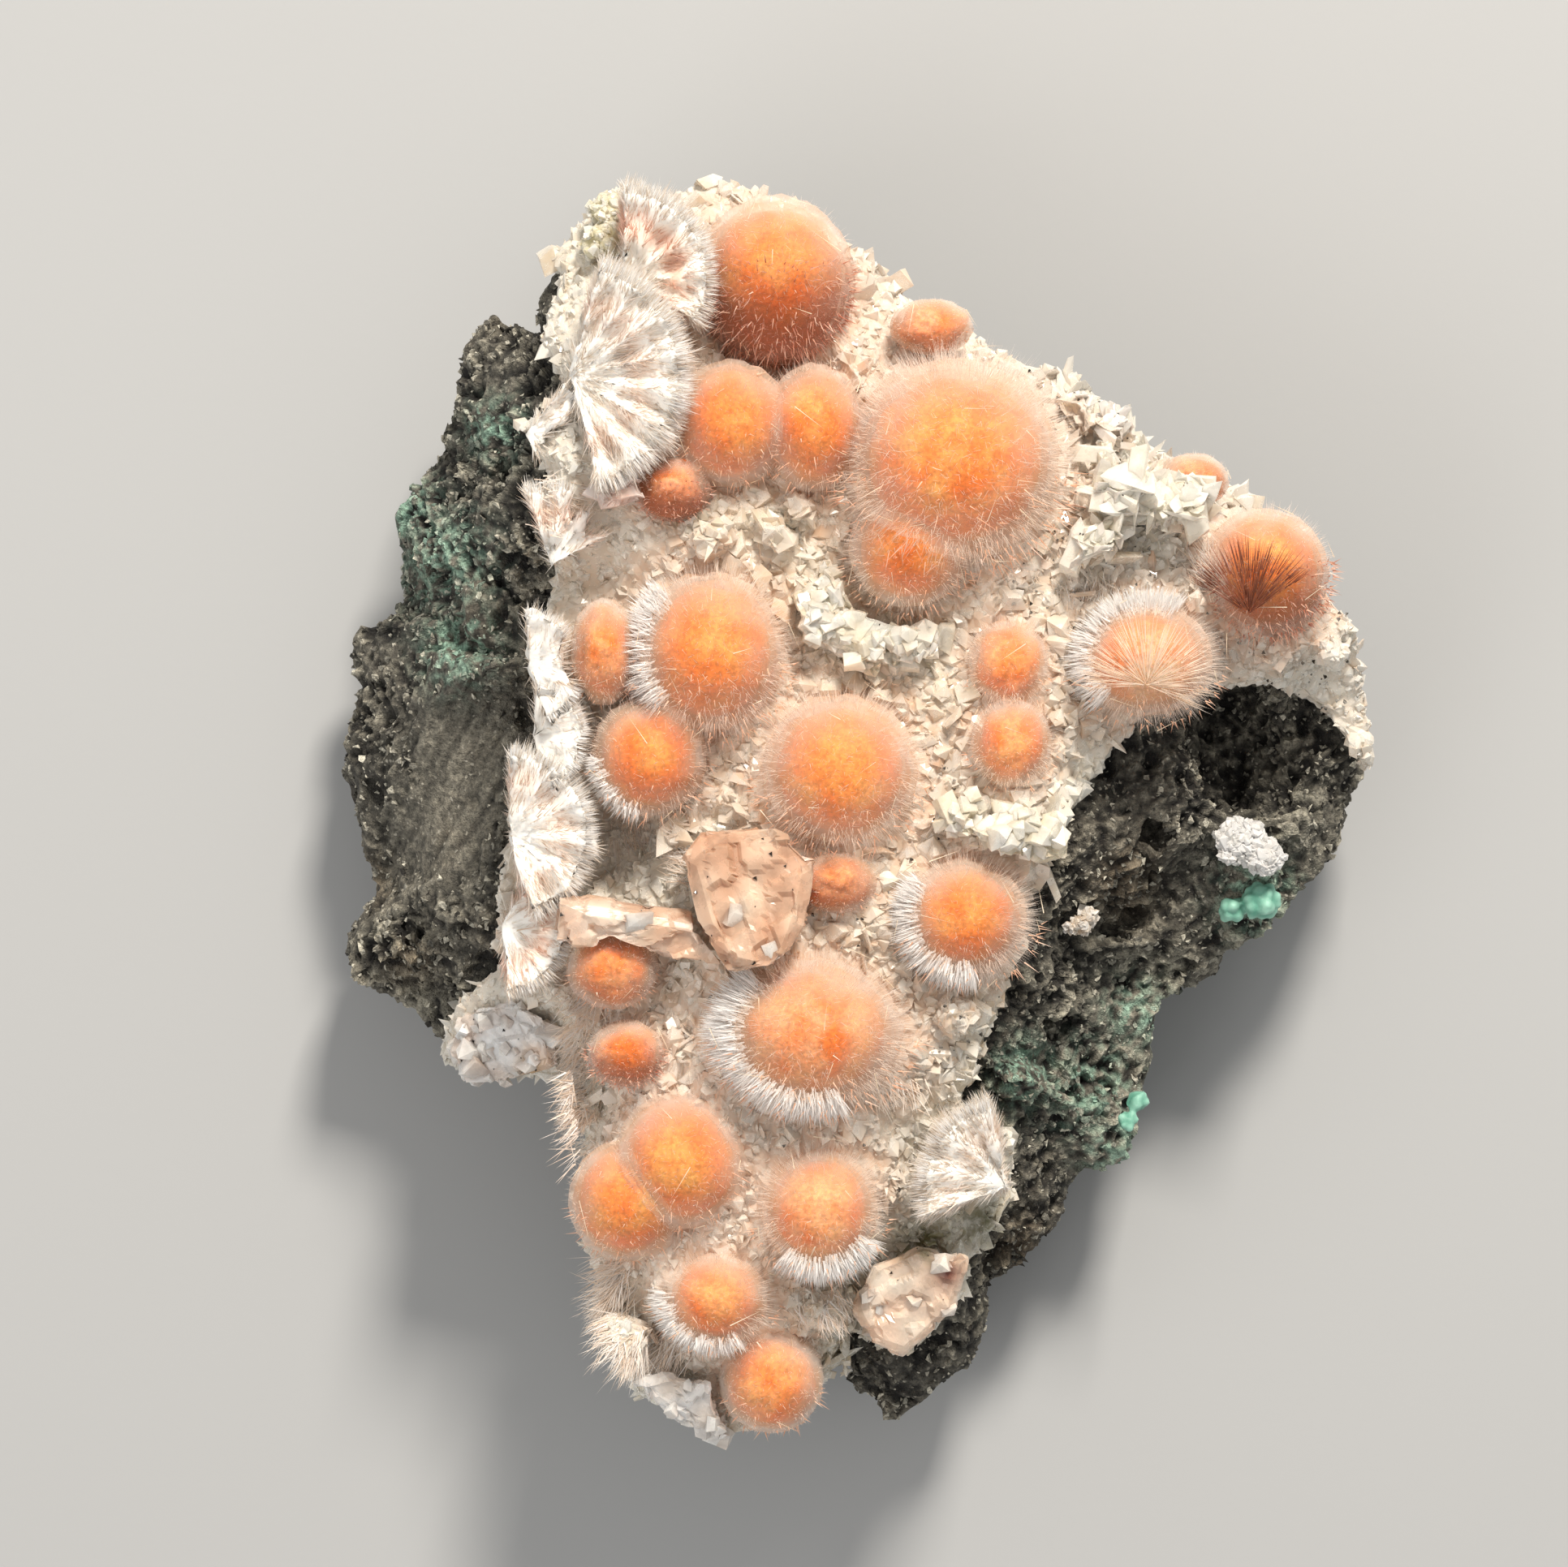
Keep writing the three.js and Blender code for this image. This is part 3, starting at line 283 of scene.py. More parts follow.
def rock_edge(middles, lengths):
    wanted = np.full(len(middles), FINE_EDGE)
    wanted[middles[:, 2] < 9] = LOW_EDGE
    wanted[middles[:, 2] < 1.5] = UNDER_EDGE
    long = lengths > wanted
    wanted[long] = np.where(crust_over(middles[long]), HIDDEN_EDGE, wanted[long])
    return wanted


rock_points, rock_faces = halved(rock_points, rock_faces, rock_edge)
rock_points = eased(rock_points, rock_faces, 5, 0.5)
open_rock = 1.0 - 0.85 * crust_over(rock_points)
calm = near(rock_points, STRIATED_FACE)
resting = np.clip((rock_points[:, 2] - 0.3) / 2.0, 0, 1)
normals = outward(rock_points, rock_faces)
knob, _ = cells(rock_points, 1.9, 1)
grit, _ = cells(rock_points, 0.9, 2)
pit = np.clip(lumps(rock_points, 2.1, 3) - 0.22, 0, 1)
swell = lumps(rock_points, 3.6, 4)
crag = 1.0 - np.abs(lumps(rock_points, 1.3, 5)) * 2
wild = np.clip(0.75 + 1.1 * lumps(rock_points, 5.0, 11), 0.35, 1.4)
crumb = wild * (0.8 * (0.4 - knob) + 0.45 * (grit - 0.4) + 0.55 * (crag - 0.6)
                + 0.35 * lumps(rock_points, 0.5, 12))
rough = 0.6 * swell + crumb - 2.6 * pit
drawn_out = rock_points @ np.array([[0.83, -0.55, 0.12], [0.09, 0.13, 0], [0, 0, 0.16]]).T
scratch = 0.22 * lumps(drawn_out, 0.5, 6) + 0.2 * lumps(drawn_out, 1.3, 8) + 0.15 * swell
height = (rough * (1 - calm) + scratch * calm) * open_rock * resting
rock_points = rock_points + normals * height[:, None]
# Painted light and shade: lighter on the raised crumbs, darker in the pits, with some random tone. On the
# striated face the painted light follows the striations, lighter where they stand up.
painted_light_on_bumps = np.clip(0.36 + 1.1 * crumb - 0.7 * pit + 0.4 * lumps(rock_points, 0.55, 10), 0, 1) ** 1.6
painted_light_on_striations = 0.36 + 0.3 * lumps(drawn_out, 0.5, 6) + 0.2 * lumps(drawn_out, 1.3, 8)
rock_tint = mixed("151311", "A8A394", painted_light_on_bumps + (painted_light_on_striations - painted_light_on_bumps) * np.clip(1.6 * calm, 0, 1))
# The outer ledge is a paler grey, palest on its bumps, where the light is painted.
pale_ledge_with_lit_bumps = 0.75 * near(rock_points, PALE_LEDGE) * np.clip(0.4 + 1.5 * crumb, 0, 1)
rock_tint = mixed(rock_tint, "B4B0A0", pale_ledge_with_lit_bumps)
rusty = near(rock_points, BROWN_STAINS) + 0.3 * np.clip(lumps(rock_points, 5.0, 9), 0, 1)
rock_tint = mixed(rock_tint, "7A5E38", 0.5 * rusty * np.clip(0.5 + crumb, 0, 1))
celadon = near(rock_points, GREEN_STAINS) * np.clip(0.4 + 2.4 * lumps(rock_points, 0.8, 7) + crumb, 0, 0.8)
rock_tint = mixed(rock_tint, "9CC2AE", celadon)

# Basalt as it broke: dull and nearly black, with a grain of 0.1 to 0.5 mm that catches the light in specks
basalt, tree = new_material("broken_basalt")
coords = add_node(tree, "ShaderNodeTexCoord")
stains = add_node(tree, "ShaderNodeVertexColor", layer_name="tint")
cloud = add_node(tree, "ShaderNodeTexNoise", {"Scale": 1 / (0.5 * MM), "Detail": 3.0, "Roughness": 0.8},
                 [("Vector", coords, "Object")])
contrast = add_node(tree, "ShaderNodeMapRange",
                    {"From Min": 0.3, "From Max": 0.7, "To Min": 0.25, "To Max": 1.7},
                    [("Value", cloud, "Fac")])
lava = add_node(tree, "ShaderNodeVectorMath", links=[(0, stains, "Color"), (1, contrast, "Result")],
                operation="MULTIPLY")
# The feldspar laths and zeolite specks, about 0.2 mm long, drawn half as large again so that they show
bent = add_node(tree, "ShaderNodeTexNoise", {"Scale": 1 / (0.5 * MM), "Detail": 1.0},
                [("Vector", coords, "Object")])
moved = add_node(tree, "ShaderNodeVectorMath", {1: (0.5 * MM, 0.5 * MM, 0.5 * MM)}, [(0, bent, "Color")],
                 operation="MULTIPLY")
strewn = add_node(tree, "ShaderNodeVectorMath", links=[(0, moved, 0), (1, coords, "Object")], operation="ADD")
specks = add_node(tree, "ShaderNodeTexVoronoi", {"Scale": 1 / (0.6 * MM)}, [("Vector", strewn, 0)])
speck = add_node(tree, "ShaderNodeMapRange", {"From Min": 0.26, "From Max": 0.12, "To Max": 0.7},
                 [("Value", specks, "Distance")])
patches = add_node(tree, "ShaderNodeTexNoise", {"Scale": 1 / (3.2 * MM), "Detail": 2.0},
                   [("Vector", coords, "Object")])
patch = add_node(tree, "ShaderNodeMapRange", {"From Min": 0.42, "From Max": 0.6}, [("Value", patches, "Fac")])
shown = add_node(tree, "ShaderNodeMath", links=[(0, speck, "Result"), (1, patch, "Result")],
                 operation="MULTIPLY")
speckled = add_node(tree, "ShaderNodeMix", {7: linear("C9C4B6")}, [("Factor", shown, 0), (6, lava, 0)],
                    data_type="RGBA")
# Grains of the broken face, 0.3 mm and finer, drawn at 0.45 mm so that they show
grains = add_node(tree, "ShaderNodeTexNoise", {"Scale": 1 / (0.45 * MM), "Detail": 3.0, "Roughness": 0.8},
                  [("Vector", coords, "Object")])
relief = add_node(tree, "ShaderNodeBump", {"Strength": 1.0, "Distance": 0.45 * MM},
                  [("Height", grains, "Fac")])
broken = add_node(tree, "ShaderNodeBsdfPrincipled",
                  {"Roughness": 0.75, "IOR": 1.55, "Specular IOR Level": 0.45},
                  [("Base Color", speckled, 2), ("Normal", relief, "Normal")])
finish_material(tree, broken)
put_together("basalt_rock", (rock_points, rock_faces, rock_tint), basalt, ["basalt_matrix"])

# The thomsonite balls
# Each ball is a sphere of thomsonite fibres that grew out from one point, orange and silky, with a coat
# of finer colourless mesolite needles on it. Seen straight down, the needles let the orange show; at the
# sides they are seen at full length, as a pale haze. The balls sit on the crust and press on each other.

FRAME_SHIFT = 0.2316    # the part's frame has its origin under the middle of the whole specimen
rng = np.random.default_rng(7)


def directions(count, lowest):
    """Directions from the height given to the top of a ball of radius 1, closer together low down."""
    height = lowest + (1 - lowest) * ((np.arange(count) + rng.random(count)) / count) ** 1.6
    angle = np.arange(count) * math.pi * (3 - math.sqrt(5)) + 0.5 * rng.random(count)
    flat = np.sqrt(1 - height ** 2)
    return np.stack([flat * np.cos(angle), flat * np.sin(angle), height], axis=1)


def one_colour(colour, count):
    return np.tile(linear(colour)[:3], (count, 1))


def needles(feet, tips, widths, foot_colours, tip_colours):
    """Three-sided needles that run out to a point: their corners, faces and colours."""
    run = tips - feet
    run = run / np.linalg.norm(run, axis=1, keepdims=True)
    side = np.cross(run, rng.normal(size=run.shape))
    side = side / np.linalg.norm(side, axis=1, keepdims=True) * widths[:, None] / 2
    up = np.cross(run, side)
    third = math.sqrt(3) / 2
    corners = np.stack([feet + side, feet - side / 2 + third * up, feet - side / 2 - third * up, tips],
                       axis=1)
    start = 4 * np.arange(len(feet))[:, None, None]
    faces = start + np.array([[0, 1, 3], [1, 2, 3], [2, 0, 3], [0, 2, 1]])
    colours = np.stack([foot_colours, foot_colours, foot_colours, tip_colours], axis=1)
    return corners.reshape(-1, 3), faces.reshape(-1, 3), colours.reshape(4 * len(feet), -1)


def gathered(groups):
    """Joins (corners, faces, colours) of several groups into one."""
    corners, faces, colours, count = [], [], [], 0
    for some, triangles, shades in groups:
        corners.append(some)
        faces.append(triangles + count)
        colours.append(shades)
        count += len(some)
    return np.vstack(corners), np.vstack(faces), np.vstack(colours)


def sphere_net(detail):
    made = bmesh.new()
    bmesh.ops.create_icosphere(made, subdivisions=detail, radius=1.0)
    net = np.array([v.co for v in made.verts]), np.array([[v.index for v in f.verts] for f in made.faces])
    made.free()
    return net


# Thomsonite: fibres grown side by side, whose ends make a silky orange face that glows a little from within
thomsonite, tree = new_material("fibrous_thomsonite")
stains = add_node(tree, "ShaderNodeVertexColor", layer_name="tint")
coords = add_node(tree, "ShaderNodeTexCoord")
# Fibre ends, 0.15 mm across, drawn at 0.35 mm so that they show as a fine mottling
fibre_ends = add_node(tree, "ShaderNodeTexNoise", {"Scale": 1 / (0.35 * MM), "Detail": 3.0, "Roughness": 0.6},
                      [("Vector", coords, "Object")])
relief = add_node(tree, "ShaderNodeBump", {"Strength": 0.5, "Distance": 0.15 * MM},
                  [("Height", fibre_ends, "Fac")])
mottling = add_node(tree, "ShaderNodeMapRange",
                    {"From Min": 0.35, "From Max": 0.65, "To Min": 0.68, "To Max": 1.08},
                    [("Value", fibre_ends, "Fac")])
mottled = add_node(tree, "ShaderNodeVectorMath", links=[(0, stains, "Color"), (1, mottling, "Result")],
                   operation="MULTIPLY")
orange = add_node(tree, "ShaderNodeBsdfPrincipled",
                  {"Roughness": 0.6, "IOR": 1.52, "Subsurface Weight": 0.5, "Subsurface Scale": 1.5 * MM,
                   "Subsurface Radius": (1.0, 0.5, 0.2), "Specular IOR Level": 0.3},
                  [("Base Color", mottled, 0), ("Normal", relief, "Normal")])
finish_material(tree, orange)

# Mesolite in single needles: colourless and glossy, bright along the needle and lit through from behind
mesolite, tree = new_material("mesolite_needles")
stains = add_node(tree, "ShaderNodeVertexColor", layer_name="tint")
silky = add_node(tree, "ShaderNodeBsdfPrincipled", {"Roughness": 0.3, "IOR": 1.505},
                 [("Base Color", stains, "Color")])
through = add_node(tree, "ShaderNodeBsdfTranslucent", links=[("Color", stains, "Color")])
lit_through = add_node(tree, "ShaderNodeMixShader", {"Fac": 0.45}, [(1, silky, 0), (2, through, 0)])
finish_material(tree, lit_through)

# The same needles where they are too fine to be made one by one: a veil that lets part of the light straight
# through, as much as the tint's alpha leaves
veil_of_mesolite, tree = new_material("mesolite_veil")
stains = add_node(tree, "ShaderNodeVertexColor", layer_name="tint")
dull = add_node(tree, "ShaderNodeBsdfDiffuse", links=[("Color", stains, "Color")])
open_air = add_node(tree, "ShaderNodeBsdfTransparent")
sheer = add_node(tree, "ShaderNodeMixShader",
                 links=[("Fac", stains, "Alpha"), (1, open_air, 0), (2, dull, 0)])
finish_material(tree, sheer)

ORANGE, AMBER, PAINTED_SHADE_RED, HAZE, WHITE = "F48232", "F8B262", "A84C2A", "FBF3EA", "FFFFFF"

# name, then for each sphere of it: middle, radii to the needle tips; share of the radius that is orange;
# how strongly red-brown shade is painted on its side away from the light; where white needles stand as a
# collar, as (from, to) in degrees
BALLS = [
    ("ball_large_twin", [((7.0, 25.5, 28.5), (9.9, 9.4, 9.9)), ((3.7, 18.9, 28), (5.6, 5.4, 6.2))], 0.64, 0.0,
     None),
    ("ball_collared", [((-3.5, -16.6, 28.5), (8.6, 7.1, 7.9))], 0.62, 0.05, (130, 290)),
    ("ball_centre", [((-1.4, 2.7, 28.5), (7.2, 7.0, 7.4))], 0.64, 0.0, None),
    ("ball_left_middle", [((-11, 11.4, 28.5), (6.9, 7.4, 7.0))], 0.64, 0.1, (130, 225)),
    ("ball_lower_twin", [((-13.1, -26.1, 26.5), (5.5, 5.6, 6.6)), ((-17, -29.1, 25.5), (4.9, 5, 6.2))], 0.76,
     0.0, None),
    ("ball_top", [((-6.2, 38.9, 25), (6.4, 6.8, 7.2))], 0.78, 0.75, None),
    ("ball_lower_right", [((-2.9, -29.7, 27), (5.7, 6, 6))], 0.6, 0.0, (230, 330)),
    ("ball_upper_tall", [((-3.3, 27.9, 27), (4.5, 5.6, 6.9))], 0.7, 0.1, None),
    ("ball_upper_left", [((-9.4, 28.2, 27.5), (4.9, 5.2, 5.8))], 0.76, 0.1, None),
    ("ball_left_low", [((-15.5, 3.7, 28), (5.1, 5.3, 5.6))], 0.68, 0.1, (180, 260)),
    ("ball_right_twin", [((11.2, 4.7, 28), (3.8, 4.2, 4.9)), ((11, 10.6, 27.5), (3.8, 4, 4.2))], 0.64, 0.0,
     None),
    ("ball_cut_right", [((7.8, -8.1, 28), (6.2, 5.9, 6))], 0.58, 0.1, (140, 280)),
    ("ball_lower_middle", [((-10.6, -36.4, 25.5), (5.3, 4.6, 6.2))], 0.6, 0.05, (170, 300)),
    ("ball_bottom", [((-6.5, -42.6, 22.5), (4.3, 4.4, 5.8))], 0.76, 0.0, None),
    ("ball_rim_broken", [((21.1, 10.9, 27), (6.6, 5.6, 6.2))], 0.6, 0.1, (60, 230)),
    ("ball_rim_dark", [((30.1, 17.3, 24), (5.6, 5.6, 6.6))], 0.7, 0.5, None),
    ("ball_left_edge", [((-18.8, 11.4, 28), (2.8, 4.4, 4.6))], 0.74, 0.1, None),
    ("ball_left_small", [((-18.2, -11.9, 28), (3.8, 3.4, 3.8))], 0.74, 0.2, None),
    ("ball_left_buried", [((-17.2, -18.2, 27), (3.3, 2.9, 3.2))], 0.7, 0.5, None),
    ("ball_upper_red", [((-13.8, 23.4, 28), (3.3, 2.7, 3.6))], 0.74, 0.7, None),
    ("ball_back_small", [((5.4, 35.6, 23.5), (3.4, 2.3, 3.2))], 0.76, 0.2, None),
    ("ball_rim_pink", [((24.9, 24.2, 23), (2.9, 2.3, 2.9))], 0.74, 0.3, None),
    ("ball_below_centre", [((-1.6, -5.6, 29), (3.3, 2.6, 3.4))], 0.72, 0.3, None),
]
spheres = [(name, np.array(middle) + [FRAME_SHIFT, 0, 0], np.array(radii))
           for name, parts, *_ in BALLS for middle, radii in parts]


def inside_another(points, name, share):
    """True for points that lie inside a ball of another name, with its radii taken times share."""
    found = np.zeros(len(points), bool)
    for other, middle, radii in spheres:
        if other != name:
            found |= (((points - middle) / (radii * share)) ** 2).sum(axis=1) < 1
    return found


NEEDLES_PER_MM2, COLLAR_PER_MM2 = 10.5, 11    # of the ball's outer surface
# The veils: how far each is over the core as a share of the radius, its two colours, how much of it is seen
VEILS = [(0.07, "FBB27A", "F6C79C", 0.42), (0.15, "F6D8BC", HAZE, 0.36)]
# How much of the core is cream, and where a white heart lies bare: x, y and radius
PALE_CORES = {"ball_rim_broken": 0.15, "ball_collared": 0.3, "ball_lower_right": 0.25,
              "ball_lower_middle": 0.1}
WHITE_HEARTS = [(22.3, 9.9, 2.4), (20.6, 8.0, 1.2)]
# Needles laid bare where a ball is broken: x and y of their heart, heading and half spread in degrees,
# reach, how many, and their colours at foot and tip
SPRAYS = {"ball_rim_dark": (28.9, 14.2, 92, 58, 6.0, 380, "8E4632", "CE9478"),
          "ball_rim_broken": (21.2, 8.9, 80, 105, 5.4, 380, "FBE6CC", "FFFFFF")}
for name, _, core_share, painted_shade_strength, collar in BALLS:
    cores, haze, coats = [], [], []
    for middle, radii in [sphere[1:] for sphere in spheres if sphere[0] == name]:
        size = radii[:2].mean()
        core_radii = radii * core_share
        net, net_faces = sphere_net(5 if size > 8 else 4)
        buried = np.clip((5 - size) / 2, 0, 1)     # the small ones are broken and half grown over
        swell = (1 + (0.03 + 0.22 * buried) * lumps(net * size, 2.5, len(name))
                 + (0.02 + 0.08 * buried) * lumps(net * size, 0.7, len(name) + 1))
        surface = middle + net * core_radii * swell[:, None]
        blotch = lumps(surface, 2.6, 11) + 0.7 * lumps(surface, 1.1, 12)
        body = mixed(ORANGE, AMBER, 0.35 + 0.8 * blotch)
        body = mixed(body, "F4B08C", 0.7 * buried * np.clip(0.5 + 1.5 * blotch, 0, 1))
        body = mixed(body, "F8E6CC", PALE_CORES.get(name, 0) * np.clip(0.8 + 1.5 * blotch, 0, 1))
        body = mixed(body, "F2DCBC", near(surface, WHITE_HEARTS) * (0.9 + 0.5 * blotch))
        # Painted shade: the core turns red-brown on its side away from the light, toward -y, and a little
        # toward its underside.
        shaded = np.clip(0.5 - 1.2 * net[:, 1], 0, 1)
        body = mixed(body, PAINTED_SHADE_RED, painted_shade_strength * shaded + 0.25 * np.clip(0.2 - net[:, 2], 0, 1))
        cores.append((surface, net_faces, body))

        # The haze: the inner part of the coat, where needles too fine to tell apart veil the core's edge
        for depth, low_colour, high_colour, thickness in VEILS:
            net, net_faces = sphere_net(4)
            ruffle = 1 + 0.05 * lumps(net * size, 0.8, 61) + 0.012 * rng.normal(size=len(net))
            surface = middle + net * radii * (core_share + depth) * ruffle[:, None]
            tone = mixed(low_colour, high_colour, 0.5 + lumps(surface, 1.5, 62))
            # Painted shade: the haze turns red-brown on the side away from the light.
            tone = mixed(tone, PAINTED_SHADE_RED, 0.9 * painted_shade_strength * np.clip(0.45 - 1.1 * net[:, 1], 0, 1))
            thin_on_top = np.clip((0.97 - net[:, 2]) / 0.5, 0.05, 1)
            haze.append((surface, net_faces, np.column_stack([tone, thickness * thin_on_top])))

        # The coat of mesolite: long fine needles, seen end on from above and at full length round the side
        count = int(NEEDLES_PER_MM2 * (1 + buried) * 2 * math.pi * size ** 2)
        way = directions(count, -0.4)
        start = core_share + 0.04 + 0.16 * np.clip(way[:, 2], 0, 1) + 0.06 * rng.random(count)
        reach = 0.86 + 0.14 * rng.random(count) ** 1.5
        aimed = way + 0.04 * rng.normal(size=way.shape)
        feet = middle + way * radii * start[:, None]
        tips = middle + aimed * radii * reach[:, None]
        keep = ~inside_another(tips, name, 0.8)
        # Painted shade: the needles' feet and tips turn red-brown on the side away from the light.
        shaded = painted_shade_strength * np.clip(0.45 - 1.1 * way[:, 1], 0, 1)
        foot_tone = mixed(mixed("FAE8D8", HAZE, rng.random(count)), PAINTED_SHADE_RED, 0.8 * shaded)
        tip_tone = mixed(mixed(HAZE, WHITE, rng.random(count)), "E0A080", 0.5 * shaded)
        width = (0.026 + 0.026 * rng.random(count)) * (1 - 0.4 * np.clip(way[:, 2], 0, 1))
        coats.append(needles(feet[keep], tips[keep], width[keep], foot_tone[keep], tip_tone[keep]))

        # On the shaded flank the needle ends catch the light as bright dashes. On the balls with strong
        # painted shade they are denser, and their dark red-brown feet are painted shade.
        way = directions(int((22 if painted_shade_strength > 0.4 else 5) * size ** 2), 0)
        way = way[way[:, 1] < (0.2 if painted_shade_strength > 0.4 else -0.1)]
        feet = middle + way * radii * (0.88 + 0.04 * rng.random((len(way), 1)))
        aimed = way + 0.04 * rng.normal(size=way.shape)
        tips = middle + aimed * radii * (0.98 + 0.06 * rng.random((len(way), 1)))
        bright = mixed("F0C0A6", "FFF6EC", rng.random(len(way)))
        foot_tone = mixed("C0603A" if painted_shade_strength > 0.4 else "F4C8A4", "FFE0C8", rng.random(len(way)))
        coats.append(needles(feet, tips, 0.08 + 0.06 * rng.random(len(way)), foot_tone, bright))

        # The collar: close-packed white needles, where the coat is broken off and seen at full length
        if collar:
            count = int(COLLAR_PER_MM2 * math.radians(collar[1] - collar[0]) * size ** 2)
            heading = np.radians(collar[0] + (collar[1] - collar[0]) * rng.random(count))
            rise = -0.25 + 0.8 * rng.random(count)
            flat = np.sqrt(1 - rise ** 2)
            way = np.stack([flat * np.cos(heading), flat * np.sin(heading), rise], axis=1)
            feet = middle + way * radii * (core_share + 0.04 + 0.16 * rng.random(count))[:, None]
            aimed = way + 0.03 * rng.normal(size=way.shape)
            tips = middle + aimed * radii * (0.9 + 0.1 * rng.random((count, 1)))
            white = one_colour(WHITE, count)
            coats.append(needles(feet, tips, 0.11 + 0.09 * rng.random(count), white, white))

        # The spray: long needles that fan out of the heart of a broken ball
        if name in SPRAYS:
            x, y, heading, half_spread, span, count, foot_colour, tip_colour = SPRAYS[name]
            turn = np.radians(heading + half_spread * (2 * rng.random(count) - 1))
            out = np.stack([np.cos(turn), np.sin(turn)], axis=1)
            from_heart = span * rng.random((count, 1)) ** 0.8
            ends = []
            for at, lift in ((0.7 * from_heart, -0.2), (0.7 * from_heart + 0.35 * span, 0.5)):
                flat = np.array([x, y]) + out * at
                rest = 1 - (((flat - middle[:2]) / radii[:2]) ** 2).sum(axis=1)
                level = middle[2] + radii[2] * np.sqrt(np.clip(rest, 0.05, 1)) + lift
                ends.append(np.column_stack([flat, level]))
            ends[1][:, 2] += 0.3 * rng.normal(size=count)
            tones = [mixed(foot_colour, tip_colour, share + 0.4 * rng.random(count)) for share in (0.0, 0.5)]
            coats.append(needles(*ends, 0.04 + 0.05 * rng.random(count), *tones))

        # Loose needles: longer ones that broke off and lie across the coat, flashing in the light
        count = int(0.28 * size ** 2)
        way = directions(count, 0.1)
        lying = np.cross(way, rng.normal(size=way.shape))
        lying = (lying / np.linalg.norm(lying, axis=1, keepdims=True)
                 + 0.7 * (rng.random((count, 1)) - 0.2) * way)
        half_length = (0.5 + 1.0 * rng.random((count, 1)))
        laid = middle + way * radii * 0.93
        white = one_colour("FFF6E4", count)
        coats.append(needles(laid - lying * half_length, laid + lying * half_length,
                             0.05 + 0.05 * rng.random(count), white, white))
    put_together(name + "_core", gathered(cores), thomsonite, [name], smooth=True)
    put_together(name + "_veil", gathered(haze), veil_of_mesolite, [name], smooth=True)
    put_together(name + "_needles", gathered(coats), mesolite, [name])

# The crystal crust
# The druse between the balls: small blocky and bladed zeolite crystals, clear to greenish cream, that grew
# on the lava before the needles did. A rough sheet is the solid's own form, and thousands of crystals
# stand out of it. Toward the balls they are stained orange, and black grains of lava are caught on them.

# How deep red, green and blue light go into a white mineral, as shares of its scale
WHITE_DEPTH = (1.0, 0.9, 0.8)

# A druse of apophyllite and calcite: crystal faces as they grew, glassy, with clouds of milk about a
# millimetre wide in them that keep the eye from seeing far in
druse_mineral, tree = new_material("zeolite_druse")
stains = add_node(tree, "ShaderNodeVertexColor", layer_name="tint")
coords = add_node(tree, "ShaderNodeTexCoord")
milk = add_node(tree, "ShaderNodeTexNoise", {"Scale": 1 / (0.9 * MM), "Detail": 3.0, "Roughness": 0.6},
                [("Vector", coords, "Object")])
cloudy = add_node(tree, "ShaderNodeMix", {7: linear("FBF8F0")}, [(6, stains, "Color")], data_type="RGBA")
veil = add_node(tree, "ShaderNodeMapRange", {"From Min": 0.42, "From Max": 0.7, "To Max": 0.65},
                [("Value", milk, "Fac")])
tree.links.new(veil.outputs["Result"], cloudy.inputs["Factor"])
gloss = add_node(tree, "ShaderNodeMapRange",
                 {"From Min": 0.35, "From Max": 0.7, "To Min": 0.08, "To Max": 0.4},
                 [("Value", milk, "Fac")])
glassy = add_node(tree, "ShaderNodeBsdfPrincipled",
                  {"IOR": 1.5, "Transmission Weight": 0.25, "Subsurface Weight": 0.25,
                   "Subsurface Scale": 1.0 * MM, "Subsurface Radius": WHITE_DEPTH},
                  [("Base Color", cloudy, 2), ("Roughness", gloss, "Result")])
finish_material(tree, glassy)

# Forms of radius 1: corners, triangles, and how near each corner is to the crystal's tip
BRICK = (np.array([(-1, -1, -1), (1, -1, -1), (1, 1, -1), (-1, 1, -1), (-1, -1, 0.45), (1, -1, 0.45),
                   (1, 1, 0.45), (-1, 1, 0.45), (-0.5, 0.1, 1), (0.5, -0.1, 1)], float),
         np.array([(0, 2, 1), (0, 3, 2), (0, 1, 5), (0, 5, 4), (1, 2, 6), (1, 6, 5), (2, 3, 7), (2, 7, 6),
                   (3, 0, 4), (3, 4, 7), (4, 5, 9), (4, 9, 8), (5, 6, 9), (6, 7, 8), (6, 8, 9), (7, 4, 8)]),
         np.array([0, 0, 0, 0, 0.6, 0.6, 0.6, 0.6, 1, 1]))
SHARD = (np.array([(-1, -0.8, -1), (1, -1, -1), (0.2, 1, -1), (-0.8, -0.7, 0.5), (0.9, -0.6, 0.2),
                   (0.1, 0.8, 0.7), (-0.1, -0.2, 1)], float),
         np.array([(0, 2, 1), (0, 1, 4), (0, 4, 3), (1, 2, 5), (1, 5, 4), (2, 0, 3), (2, 3, 5), (3, 4, 6),
                   (4, 5, 6), (5, 3, 6)]),
         np.array([0, 0, 0, 0.6, 0.6, 0.6, 1]))


